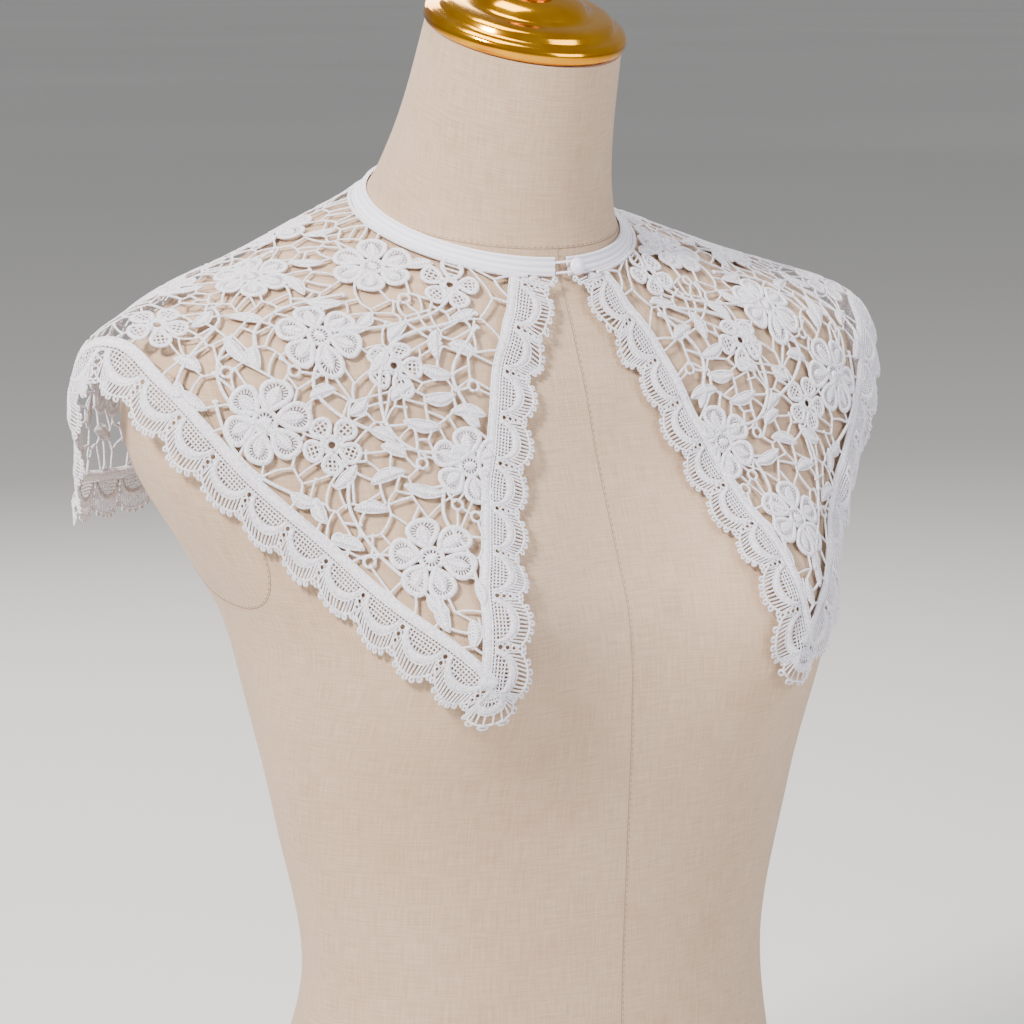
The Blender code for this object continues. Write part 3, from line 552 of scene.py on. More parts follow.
def add_leaf_pad(work, centre, start, end, half_width, bend, swell, fullness, alone=False):
    """A satin pad from one offset to another, bowed aside by bend."""
    t = np.linspace(0, 1, 11)
    start, end = np.array(start), np.array(end)
    length = np.linalg.norm(end - start)
    along = (end - start) / length
    aside = np.array([along[1], -along[0]])
    middle = start + t[:, None] * (end - start) + (4 * t * (1 - t))[:, None] * aside * bend
    width = half_width * (0.06 + np.sin(math.pi * np.clip(t, 0.001, 0.999)) ** fullness)
    left, right = middle - aside * width[:, None], middle + aside * width[:, None]
    grid, across = strip_grid(left, right, 7)
    shape = grid.shape
    places = local_places(centre, grid.reshape(-1, 2)).reshape(shape)
    rows = inside_tape(places[:, 3]) | alone
    if rows.sum() > 3:
        work.pad(places[rows], t[rows] * length, across, swell, alone=alone)
    outline = np.concatenate([left, right[::-1]])
    return local_places(centre, outline)


def add_disc(work, centre, radius, swell, alone=False):
    """A round satin pad."""
    t = np.linspace(0, math.pi, 9)
    s, w = -np.cos(t) * radius, np.sin(t) * radius + 0.02 * MM
    grid, across = strip_grid(np.stack([s, -w], -1), np.stack([s, w], -1), 7)
    places = local_places(centre, grid.reshape(-1, 2)).reshape(grid.shape)
    work.pad(places, s + radius, across * 0.1, swell, alone=alone)


def circle(radius, count):
    """Offsets round a circle."""
    t = np.linspace(0, 2 * math.pi, count, endpoint=False)
    return np.stack([np.sin(t), np.cos(t)], -1) * radius


def add_satin_flower(work, flower):
    """A six-petalled flower: each petal a raised band round a row of pinholes and a satin pad."""
    centre, unit = plan(flower.r, flower.a), flower.across / 43 * MM
    alone = flower.a == 180
    for i in range(flower.petals):
        turn = flower.turn + 360 * i / flower.petals
        band = turned(petal_loop(5.6, 20.0, 6.3, 22, 0.5) * unit, turn)
        pad = turned(petal_loop(7.6, 17.8, 3.7, 22, 0.5) * unit, turn)
        work.motif_thread(local_places(centre, band), 1.4 * unit, True, "flat", alone=alone)
        for k in range(2, 21):
            pin = local_places(centre, np.stack([pad[k] * 0.9 + pad.mean(0) * 0.1, band[k]]))
            work.motif_thread(pin, 0.44 * unit, out=LACE_MIDDLE - 0.1 * MM, alone=alone)
        ends = direction(turn) * 7.2 * unit, direction(turn) * 17.7 * unit
        add_leaf_pad(work, centre, *ends, 3.5 * unit, 0.0, 1.45 * MM, 0.6, alone)
    add_disc(work, centre, 3.0 * unit, 1.7 * MM, alone)
    inner, outer = circle(2.8 * unit, 13), circle(4.9 * unit, 13)
    for start, end in zip(inner, outer):
        work.motif_thread(local_places(centre, [start, end]), 0.45 * unit, alone=alone)
    ring = local_places(centre, circle(5.2 * unit, 24))
    work.motif_thread(ring, 1.2 * unit, True, "flat", alone=alone)


def add_net_flower(work, flower):
    """A five-petalled flower: round petals filled with net about an open middle."""
    centre, unit = plan(flower.r, flower.a), flower.across / 30 * MM
    alone = flower.a == 180
    for i in range(flower.petals):
        turn = flower.turn + 360 * i / flower.petals
        loop = petal_loop(4.2, 13.9, 4.6, 18, 0.35)
        edge = local_places(centre, turned(loop * unit, turn))
        work.motif_thread(edge, 1.2 * unit, True, "flat", alone=alone)
        half = loop[1:9]
        for aside in (-2.2, 0.0, 2.2):
            inside_loop = half[half[:, 1] > abs(aside) - 0.4][:, 0]
            line = np.array([[inside_loop.min(), aside], [inside_loop.max() + 0.3, aside]])
            work.motif_thread(local_places(centre, turned(line * unit, turn)), 0.48 * unit, alone=alone)
        for out in (6.9, 9.1, 11.3):
            wide = np.interp(out, half[:, 0], half[:, 1])
            line = np.array([[out, -wide], [out, wide]])
            work.motif_thread(local_places(centre, turned(line * unit, turn)), 0.48 * unit, alone=alone)
    for radius, half in ((2.7, 1.0), (4.3, 0.9)):
        ring = local_places(centre, circle(radius * unit, 20))
        work.motif_thread(ring, half * unit, True, "flat", alone=alone)


def add_leaf(work, leaf, number):
    """A satin leaf with a corded edge, bowed to one side."""
    centre = plan(leaf.r, leaf.a)
    half = leaf.length * MM / 2
    step = direction(leaf.turn) * half
    bend = (1.3 if number % 2 else -1.3) * MM
    outline = add_leaf_pad(work, centre, -step, step, LEAF_WIDTH / 2, bend, 1.5 * MM, 0.8)
    work.motif_thread(outline, 0.5 * MM, True)


def solid_bodies():
    """The lace's motifs on the half plan as capsules: two plan ends and a real radius."""
    bodies = []
    for flower in FLOWERS:
        across = flower.across * MM
        radius = across * (0.165 if flower.petals == 6 else 0.19)
        turns = [flower.turn + 360 * i / flower.petals for i in range(flower.petals)]
        offsets = [np.zeros(2)] + [direction(turn) * (across / 2 - radius) for turn in turns]
        sizes = [across * 0.17] + [radius] * flower.petals
        places = local_places(plan(flower.r, flower.a), offsets)
        bodies += [(place, place, size) for place, size in zip(places, sizes)]
    for leaf in LEAVES:
        step = direction(leaf.turn) * (leaf.length * MM / 2 - LEAF_BODY)
        start, end = local_places(plan(leaf.r, leaf.a), [-step, step])
        bodies.append((start, end, LEAF_BODY))
    for r, a in RINGS:
        bodies.append((plan(r, a), plan(r, a), RING_ACROSS / 2))
    return bodies


def solid_strips():
    """The tape and the neck edge as chains of plan places with a radius."""
    return [(TAPE_MIDDLE, TAPE_WIDTH / 2), (neck_edge(15, 180, 40), NECK_STRIP)]


def clear_of(points, capsules, margin):
    """Whether points lie further than a margin from every capsule, its radius included."""
    clear = np.ones(len(points), bool)
    for a, b, radius in capsules:
        along = b - a
        t = np.clip((points - a) @ along / max(along @ along, 1e-12), 0, 1)[:, None]
        clear &= np.linalg.norm(points - a - t * along, axis=1) > radius + margin
    return clear


def draped_capsules():
    """The motifs and the strips as capsules over the form."""
    motifs = [(drape(a, 0.0), drape(b, 0.0), radius) for a, b, radius in solid_bodies()]
    strips = []
    for chain, radius in solid_strips():
        ends = drape(chain, 0.0)
        strips += [(a, b, radius) for a, b in zip(ends[:-1], ends[1:])]
    return motifs, strips


def scatter_cells(motifs, strips):
    """Seeds for the ground's openings, spread over the free places of the half plan."""
    rng = np.random.default_rng(CELL_SEED)
    tries = rng.uniform(PLAN_LOW, PLAN_HIGH, (SEED_TRIES, 2))
    tries = tries[inside_edge(tries)]
    points = drape(tries, 0.0)
    clear = clear_of(points, motifs, BODY_MARGIN) & clear_of(points, strips, STRIP_MARGIN)
    seeds = []
    for i in np.flatnonzero(clear):
        if not seeds or np.linalg.norm(points[seeds] - points[i], axis=1).min() > CELL_SPACING:
            seeds.append(i)
    return tries[seeds]


def clip(corners, side_of, limit, tag):
    """A convex polygon of (corner, tag of the side that follows) cut off beyond a limit."""
    kept = []
    for i, (here, side) in enumerate(corners):
        there = corners[(i + 1) % len(corners)][0]
        h, t = here @ side_of - limit, there @ side_of - limit
        if h <= 0:
            kept.append((here, side))
            if t > 0:
                kept.append((here + (there - here) * h / (h - t), tag))
        elif t <= 0:
            kept.append((here + (there - here) * h / (h - t), side))
    return kept


def splitting_lines(corners, rng):
    """Lines that part one cell of the ground: none in a small cell, one bar across a middling
    one, three that meet in the middle of a large one."""
    points = np.array([corner for corner, _ in corners])
    after = np.roll(points, -1, axis=0)
    area = abs((points[:, 0] * after[:, 1] - after[:, 0] * points[:, 1]).sum()) / 2
    sides = points + (after - points) * rng.uniform(*SPLIT_PLACES, (len(points), 1))
    count = len(points)
    if area < SPLIT_CELL or count < 4 or rng.uniform() < LEFT_WHOLE:
        return []
    if area > SPLIT_THRICE and count > 5:
        first = rng.integers(count)
        middle = points.mean(0) + rng.uniform(-MIDDLE_SHIFT, MIDDLE_SHIFT, 2) * MM
        return [(middle, sides[(first + round(i * count / 3)) % count]) for i in range(3)]
    pairs = [(np.linalg.norm(sides[i] - sides[j]), i, j) for i in range(count) for j in range(i)
             if 1 < i - j < count - 1 and abs(i - j - count / 2) <= 1]
    _, i, j = min(pairs)
    return [(sides[i], sides[j])]


def ground_lines(seeds):
    """The bars of the ground: plan lines midway between neighbouring seeds, and the bars that
    split the larger cells."""
    rng = np.random.default_rng(SPLIT_SEED)
    points, across, down, _, to_plan = frame_at(seeds)
    others = np.concatenate([points, points * [-1, 1, 1]])
    lines = []
    for i, seed in enumerate(points):
        axes = np.stack([across[i], down[i]])
        corners = [(np.array(c) * CELL_REACH, None) for c in SQUARE]
        near = np.flatnonzero(np.linalg.norm(others - seed, axis=1) < 1.6 * CELL_REACH)
        for j in near:
            offset = axes @ (others[j] - seed)
            distance = np.linalg.norm(offset)
            if distance > 1e-6:
                corners = clip(corners, offset / distance, distance / 2, j)
        for k, (start, tag) in enumerate(corners):
            end = corners[(k + 1) % len(corners)][0]
            if tag is not None and tag % len(points) >= i + (tag < len(points)):
                lines.append((seeds[i] + to_plan[i] @ start, seeds[i] + to_plan[i] @ end))
        for start, end in splitting_lines(corners, rng):
            beyond = (end - start) / np.linalg.norm(end - start) * SPLIT_BEYOND
            lines.append((seeds[i] + to_plan[i] @ (start - beyond),
                          seeds[i] + to_plan[i] @ (end + beyond)))
    return lines


def ring_ties(lines):
    """Bars that tie each eyelet ring to the nearest joints of the ground, three ways round."""
    joints = np.array([end for line in lines for end in line])
    ties = []
    for r, a in RINGS:
        centre = plan(r, a)
        offsets = (joints - centre) @ np.linalg.inv(frame_at(centre)[4]).T
        distance = np.linalg.norm(offsets, axis=1)
        for turn in TIE_TURNS:
            facing = offsets @ direction(turn) > TIE_AIM * distance
            reach = np.where(facing & (distance > RING_ACROSS / 2), distance, np.inf)
            if reach.min() < 3 * RING_ACROSS:
                ties.append((centre, joints[np.argmin(reach)]))
    return ties


def bowed(start, end, count, bow):
    """A line between two plan places, bowed a little to one side."""
    t = np.linspace(0, 1, count)[:, None]
    step = end - start
    return start + t * step + 4 * t * (1 - t) * np.array([-step[1], step[0]]) * bow


def free_runs(lines, motifs, strips):
    """The stretches of the ground's bars that lie between the motifs, as plan lines."""
    rng = np.random.default_rng(BOW_SEED)
    places = [bowed(start, end, BAR_POINTS, bow) for (start, end), bow in
              zip(lines, rng.uniform(-BAR_BOW, BAR_BOW, len(lines)))]
    every = np.concatenate(places)
    points = drape(every, 0.0)
    free = clear_of(points, motifs, -BAR_INTO_MOTIF) & clear_of(points, strips, -BAR_INTO_STRIP)
    free &= below_band(every) & inside_edge(near_side(every))
    free = free.reshape(len(lines), -1)
    runs = []
    for line, ok in zip(places, free):
        start = None
        for i, here in enumerate([*ok, False]):
            if here and start is None:
                start = i
            elif not here and start is not None:
                if i - start > 2:
                    first, last = max(start - 1, 0), min(i, BAR_POINTS - 1)
                    runs.append(line[np.linspace(first, last, 5).round().astype(int)])
                start = None
    return runs


def add_scallop(work, number):
    """One scallop of the edging: a half moon of net, a satin crescent, a fan and its picots."""
    middle = (number + 0.5) * PITCH
    scale = PITCH / SCALLOP_PITCH

    def at(x, o):
        return edge_places(middle + np.asarray(x) * MM * scale, np.asarray(o) * MM)

    def thread(places, half, closed=False, kind="round"):
        if number < 0:
            work.motif_thread(places, half, closed, kind, allowed=below_band)
        else:
            work.thread(places, half, closed, kind)

    moon_wide, moon_high = 8.4, 7.0
    crescent_wide, crescent_high = 10.7, 11.7
    fan_threads, picots, pitch = 13, 7, 24
    for x in np.arange(-7, 7.1, 1.75):
        high = moon_high * math.sqrt(1 - (x / moon_wide) ** 2) + 0.3
        thread(at([x, x], [0.2, high]), 0.42 * MM)
    for o in (1.9, 3.6, 5.2):
        wide = moon_wide * math.sqrt(1 - (o / moon_high) ** 2)
        xs = np.linspace(-wide, wide, 4)
        thread(at(xs, np.full(4, o)), 0.42 * MM)
    theta = np.linspace(math.pi * 0.985, math.pi * 0.015, 15)
    inner = at(moon_wide * np.cos(theta), moon_high * np.sin(theta))
    outer = at(crescent_wide * np.cos(theta), 0.2 + crescent_high * np.sin(theta))
    grid, across = strip_grid(outer, inner, 6)
    rows = below_band(grid[:, 3])
    work.pad(grid[rows], run_of(outer)[rows], across * 0.3, 1.3 * MM)
    thread(at(10.6 * np.cos(theta), 0.1 + 11.6 * np.sin(theta)), 0.5 * MM)
    phase = np.linspace(0, 1, 19)
    rim_out = scallop_reach(phase) / MM - 2.7
    thread(at((phase - 0.5) * pitch, rim_out), 0.62 * MM)
    for i in range(fan_threads):
        p = (i + 0.5) / fan_threads
        bearing = math.pi * (0.9 - 0.8 * p)
        start = 10.8 * math.cos(bearing), 0.2 + 11.8 * math.sin(bearing)
        end = (p - 0.5) * 23.4, scallop_reach(p) / MM - 2.5
        thread(at([start[0], end[0]], [start[1], end[1]]), 0.54 * MM)
    for i in range(picots):
        p = (i + 0.5) / picots
        rise = scallop_reach(min(p + 0.02, 1)) - scallop_reach(max(p - 0.02, 0))
        slope = rise / MM / (0.04 * pitch)
        lean = math.hypot(1, slope)
        x, o = (p - 0.5) * pitch - slope / lean * 0.9, scallop_reach(p) / MM - 2.4 + 0.9 / lean
        ring = circle(0.98, 9)
        thread(at(x + ring[:, 0], o + ring[:, 1]), 0.68 * MM, True, "flat")
    for o, radius in ((2.3, 1.5), (5.5, 1.35), (8.4, 1.15)):
        ring = circle(radius, 10)
        thread(at(pitch / 2 + ring[:, 0], o + ring[:, 1]), 0.5 * MM, True)


def add_tape(work, start, end):
    """The header tape between two lengths of the edge, with a ladder of pinholes outside it."""
    lengths = np.linspace(start, end, max(2, round((end - start) / (3 * MM))) + 1)
    inner, outer = edge_places(lengths, -TAPE_WIDTH), edge_places(lengths, -1.0 * MM)
    grid, across = strip_grid(outer, inner, 7)
    rows = below_band(grid[:, 3])
    work.pad(grid[rows], lengths[rows], across * 0.1, 1.15 * MM)
    for out, half in ((-TAPE_WIDTH + 0.3 * MM, 0.5 * MM), (-1.2 * MM, 0.5 * MM), (0.25 * MM, 0.45 * MM)):
        work.motif_thread(edge_places(lengths, out), half, allowed=below_band)
    for length in np.arange(start, end, 1.7 * MM):
        rung = edge_places([length, length], [-1.2 * MM, 0.3 * MM])
        work.motif_thread(rung, 0.32 * MM, allowed=below_band)


def lay_out_lace():
    """The front and the back lace, and their edgings, as four pieces of work."""
    work = {name: Work(name.endswith("back"))
            for name in ("ground_front", "ground_back", "edging_front", "edging_back")}

    def side(angle):
        return "front" if angle < SHOULDER_ANGLE else "back"

    for flower in FLOWERS:
        add = add_satin_flower if flower.petals == 6 else add_net_flower
        add(work["ground_" + side(flower.a)], flower)
    for number, leaf in enumerate(LEAVES):
        add_leaf(work["ground_" + side(leaf.a)], leaf, number)
    for r, a in RINGS:
        ring = local_places(plan(r, a), circle(RING_MIDDLE, 16))
        work["ground_" + side(a)].thread(ring, 0.8 * MM, True, "flat")
    for number, stem in enumerate(STEMS):
        places = curve_through(stem, 4 * MM)
        piece = work["ground_" + side(angle_of(places[len(places) // 2]))]
        piece.thread(places, 0.95 * MM)
        add_disc(piece, places[0], 1.5 * MM, 1.2 * MM)
        across, down = np.linalg.solve(frame_at(places[-1])[4], places[-1] - places[-2])
        turn = math.degrees(math.atan2(across, down))
        tip = local_places(places[-1], [direction(turn) * 5 * MM])[0]
        add_leaf(piece, Leaf(np.linalg.norm(tip) / MM, angle_of(tip), turn, 13), number)
    motifs, strips = draped_capsules()
    lines = ground_lines(scatter_cells(motifs, strips))
    lines += ring_ties(lines) + [(plan(*start), plan(*end)) for start, end in POINT_BARS]
    rng = np.random.default_rng(WIDTH_SEED)
    for places in free_runs(lines, motifs, strips):
        half = rng.uniform(*BAR_HALF_WIDTHS) * MM
        work["ground_" + side(angle_of(places.mean(0)))].thread(places, half)
    for start, end, name in ((NECK_CORD_START, SHOULDER_TIP, "ground_front"),
                             (SHOULDER_TIP, 180, "ground_back")):
        work[name].thread(neck_edge(start, end, 50, LACE_TOP + NECK_CORD), NECK_CORD)
    tip = round(EDGE_LENGTH[np.argmax(angle_of(EDGE_PLACE) > SHOULDER_TIP)] / PITCH)
    for number in range(-1, SCALLOPS):
        add_scallop(work["edging_front" if number < tip else "edging_back"], number)
    add_tape(work["edging_front"], -UPPER_TAPE, tip * PITCH)
    add_tape(work["edging_back"], tip * PITCH, EDGE_LENGTH[-1])
    return work


def add_node(tree, kind, inputs=None, **settings):
    """A node with its settings, and its inputs given as values or as the sockets they come from."""
    node = tree.nodes.new(kind)
    for name, value in settings.items():
        setattr(node, name, value)
    for key, value in (inputs or {}).items():
        socket = node.inputs[key]
        if isinstance(value, bpy.types.NodeSocket):
            tree.links.new(value, socket)
        else:
            socket.default_value = value
    return node


def cord_tree():
    """Geometry nodes that turn lines into stitched cords of their own width, flat or round."""
    tree = bpy.data.node_groups.new("stitched_cords", "GeometryNodeTree")
    sockets = {}
    for name, kind in (("Lines", "NodeSocketGeometry"), ("Height share", "NodeSocketFloat"),
                       ("Sides", "NodeSocketInt"), ("Finish", "NodeSocketMaterial")):
        sockets[name] = tree.interface.new_socket(name, in_out="INPUT", socket_type=kind)
    tree.interface.new_socket("Cords", in_out="OUTPUT", socket_type="NodeSocketGeometry")
    given = add_node(tree, "NodeGroupInput").outputs
    curve = add_node(tree, "GeometryNodeMeshToCurve", {"Mesh": given["Lines"]})
    outward = add_node(tree, "GeometryNodeInputNamedAttribute", {"Name": "outward"},
                       data_type="FLOAT_VECTOR")
    stood = add_node(tree, "GeometryNodeSetCurveNormal",
                     {"Curve": curve.outputs[0], "Normal": outward.outputs[0]}, mode="FREE")
    length = add_node(tree, "GeometryNodeSplineParameter")
    marked = add_node(tree, "GeometryNodeStoreNamedAttribute",
                      {"Geometry": stood.outputs[0], "Name": "along", "Value": length.outputs["Length"]},
                      data_type="FLOAT", domain="POINT")
    half = add_node(tree, "GeometryNodeInputNamedAttribute", {"Name": "half_width"}, data_type="FLOAT")
    section = add_node(tree, "GeometryNodeCurvePrimitiveCircle",
                       {"Resolution": given["Sides"], "Radius": 1.0})
    flat = add_node(tree, "ShaderNodeCombineXYZ", {"X": given["Height share"], "Y": 1.0, "Z": 1.0})
    oval = add_node(tree, "GeometryNodeTransform", {"Geometry": section.outputs[0], "Scale": flat.outputs[0]})
    swept = add_node(tree, "GeometryNodeCurveToMesh",
                     {"Curve": marked.outputs[0], "Profile Curve": oval.outputs[0],
                      "Scale": half.outputs[0], "Fill Caps": True})
    smooth = add_node(tree, "GeometryNodeSetShadeSmooth", {"Geometry": swept.outputs[0]})
    real = add_node(tree, "GeometryNodeRealizeInstances", {"Geometry": smooth.outputs[0]})
    made = add_node(tree, "GeometryNodeSetMaterial",
                    {"Geometry": real.outputs[0], "Material": given["Finish"]})
    add_node(tree, "NodeGroupOutput", {"Cords": made.outputs[0]})
    return tree, sockets


def stitch_tree():
    """Geometry nodes that lay one short stitch at even steps along a line."""
    tree = bpy.data.node_groups.new("stitches_on_a_line", "GeometryNodeTree")
    sockets = {}
    for name, kind in (("Line", "NodeSocketGeometry"), ("Step", "NodeSocketFloat"),
                       ("Stitch length", "NodeSocketFloat"), ("Thread radius", "NodeSocketFloat"),
                       ("Finish", "NodeSocketMaterial")):
        sockets[name] = tree.interface.new_socket(name, in_out="INPUT", socket_type=kind)
    tree.interface.new_socket("Stitches", in_out="OUTPUT", socket_type="NodeSocketGeometry")
    given = add_node(tree, "NodeGroupInput").outputs
    curve = add_node(tree, "GeometryNodeMeshToCurve", {"Mesh": given["Line"]})
    points = add_node(tree, "GeometryNodeCurveToPoints",
                      {"Curve": curve.outputs[0], "Length": given["Step"]}, mode="LENGTH")
    stitch = add_node(tree, "GeometryNodeMeshUVSphere", {"Segments": 6, "Rings": 5, "Radius": 1.0})
    half = add_node(tree, "ShaderNodeMath", {0: given["Stitch length"], 1: 0.5}, operation="MULTIPLY")
    size = add_node(tree, "ShaderNodeCombineXYZ",
                    {"X": given["Thread radius"], "Y": given["Thread radius"], "Z": half.outputs[0]})
    laid = add_node(tree, "GeometryNodeInstanceOnPoints",
                    {"Points": points.outputs[0], "Instance": stitch.outputs[0],
                     "Rotation": points.outputs["Rotation"], "Scale": size.outputs[0]})
    real = add_node(tree, "GeometryNodeRealizeInstances", {"Geometry": laid.outputs[0]})
    smooth = add_node(tree, "GeometryNodeSetShadeSmooth", {"Geometry": real.outputs[0]})
    made = add_node(tree, "GeometryNodeSetMaterial",
                    {"Geometry": smooth.outputs[0], "Material": given["Finish"]})
    add_node(tree, "NodeGroupOutput", {"Stitches": made.outputs[0]})
    return tree, sockets


def placed(name, data):
    """An object in the scene that holds the data."""
    piece = bpy.data.objects.new(name, data)
    bpy.context.scene.collection.objects.link(piece)
    return piece


def grown(mesh, group, values):
    """The plain mesh that a geometry tree makes of a mesh, with its inputs set."""
    tree, sockets = group
    carrier = placed("carrier", mesh)
    modifier = carrier.modifiers.new("made", "NODES")
    modifier.node_group = tree
    for name, value in values.items():
        modifier[sockets[name].identifier] = value
    graph = bpy.context.evaluated_depsgraph_get()
    made = bpy.data.meshes.new_from_object(carrier.evaluated_get(graph), preserve_all_data_layers=True,
                                           depsgraph=graph)
    bpy.data.objects.remove(carrier, do_unlink=True)
    return made


def edge_tree():
    """A search tree of the stations along the tape's edge."""
    tree = KDTree(len(EDGE_PLACE))
    for i, (x, y) in enumerate(EDGE_PLACE):
        tree.insert((x, y, 0), i)
    tree.balance()
    return tree


EDGE_TREE = edge_tree()


def edge_lift(places):
    """How far the cloth lifts off near its free edge: a slow wave along the edge."""
    found = [EDGE_TREE.find((abs(x), y, 0))[1:] for x, y in places]
    station, away = np.array([i for i, _ in found]), np.array([d for _, d in found])
    outside = below_band(places) & ~inside_edge(near_side(places))
    beyond = np.where(outside, away, -away)
    run = EDGE_LENGTH[station]
    wave = 0.5 + 0.3 * np.sin(run / WAVE_STEP) + 0.2 * np.sin(run / WAVE_STEP * 2.3 + 1)
    shoulder = np.exp(-((angle_of(places) - SHOULDER_TIP) / FLARE_SPREAD) ** 2)
    flare = SHOULDER_FLARE * shoulder * smooth_step((beyond + FLARE_INSIDE) / FLARE_OVER)
    return EDGE_LIFT * wave * smooth_step((beyond + LIFT_INSIDE) / LIFT_OVER) + flare


def line_mesh(lines):
    """A mesh of the lines' points and edges over the form, with their width and outward side."""
    places = np.concatenate([places for places, *_ in lines])
    out = np.concatenate([np.full(len(places), out) for places, _, _, out in lines])
    out = out + edge_lift(places)
    half = np.concatenate([np.full(len(places), half) for places, half, *_ in lines])
    points = drape(places, out)
    normals = (drape(places, out + MM) - points) / MM
    edges, first = [], 0
    for line, _, closed, _ in lines:
        count = len(line)
        edges += [(first + i, first + i + 1) for i in range(count - 1)]
        if closed:
            edges.append((first + count - 1, first))
        first += count
    return edge_mesh(points, normals, half, edges)


def keep(mesh, name, values):
    """Keeps one number for each of a mesh's points."""
    mesh.attributes.new(name, "FLOAT", "POINT").data.foreach_set("value", np.asarray(values, float))


def edge_mesh(points, normals, half, edges):
    """A mesh of points and edges with each point's half width and outward side. Its place
    across is far from the rows of needle marks, which only pads have."""
    mesh = bpy.data.meshes.new("lines")
    mesh.from_pydata([tuple(p) for p in points], edges, [])
    keep(mesh, "half_width", half)
    mesh.attributes.new("outward", "FLOAT_VECTOR", "POINT").data.foreach_set("vector", np.ravel(normals))
    keep(mesh, "across", np.full(len(points), FAR_ACROSS))
    return mesh


def pad_mesh(pads, finish):
    """All the pads of a piece as closed domes, with the threads' way along and across."""
    points, outs, alongs, acrosses, faces = [], [], [], [], []
    first = 0
    for grid, along, across, swell, base in pads:
        rows, columns = grid.shape[:2]
        dome = np.sqrt(np.clip(1 - np.linspace(-1, 1, columns) ** 2, 0, 1))
        points.append(grid.reshape(-1, 2))
        outs.append(np.tile(base + swell * dome, rows))
        alongs.append(np.repeat(along, columns))
        acrosses.append(np.tile(across, rows))
        index = first + np.arange(rows * columns).reshape(rows, columns)
        for i in range(rows - 1):
            for j in range(columns - 1):
                faces.append((index[i, j], index[i, j + 1], index[i + 1, j + 1], index[i + 1, j]))
            faces.append((index[i, 0], index[i + 1, 0], index[i + 1, -1], index[i, -1]))
        faces.append(tuple(index[0][::-1]))
        faces.append(tuple(index[-1]))
        first += rows * columns
    mesh = bpy.data.meshes.new("pads")
    places = np.concatenate(points)
    lifted = np.concatenate(outs) + edge_lift(places)
    mesh.from_pydata([tuple(p) for p in drape(places, lifted)], [], faces)
    keep(mesh, "along", np.concatenate(alongs))
    keep(mesh, "across", np.concatenate(acrosses))
    outward_faces(mesh)
    mesh.shade_smooth()
    mesh.materials.append(finish)
    return mesh


def outward_faces(mesh):
    """Turns each closed island of a mesh to face outwards."""
    work = bmesh.new()
    work.from_mesh(mesh)
    bmesh.ops.recalc_face_normals(work, faces=work.faces)
    work.to_mesh(mesh)
    work.free()


def joined(name, meshes):
    """One object from several meshes that share a material."""
    objects = [placed(name, mesh) for mesh in meshes]
    with bpy.context.temp_override(active_object=objects[0], object=objects[0], selected_objects=objects,
                                   selected_editable_objects=objects):
        bpy.ops.object.join()
    piece = objects[0]
    piece.name = piece.data.name = name
    return piece


def mirrored_piece(piece, name):
    """A copy of a piece mirrored across the centre plane, facing outwards."""
    mesh = piece.data.copy()
    mesh.transform(Matrix.Diagonal((-1, 1, 1, 1)))
    mesh.flip_normals()
    mesh.name = name
    return placed(name, mesh)


def linear(code):
    """An sRGB hex colour as linear RGBA."""
    values = [int(code[i:i + 2], 16) / 255 for i in (0, 2, 4)]
    return (*[v / 12.92 if v <= 0.04045 else ((v + 0.055) / 1.055) ** 2.4 for v in values], 1.0)


def plain_material(name, code, roughness, **sockets):
    """A named Principled material, its tree and its shader."""
    material = bpy.data.materials.new(name)
    material.use_nodes = True
    tree = material.node_tree
    shader = tree.nodes["Principled BSDF"]
    shader.inputs["Base Color"].default_value = linear(code)
    shader.inputs["Roughness"].default_value = roughness
    for key, value in sockets.items():
        shader.inputs[key.replace("_", " ")].default_value = value
    return material, tree, shader


def ramp(tree, factor, stops):
    """A colour ramp from (position, hex colour) stops."""
    node = add_node(tree, "ShaderNodeValToRGB", {"Fac": factor})
    while len(node.color_ramp.elements) < len(stops):
        node.color_ramp.elements.new(0.5)
    for element, (position, code) in zip(node.color_ramp.elements, stops):
        element.position = position
        element.color = linear(code)
    return node.outputs["Color"]


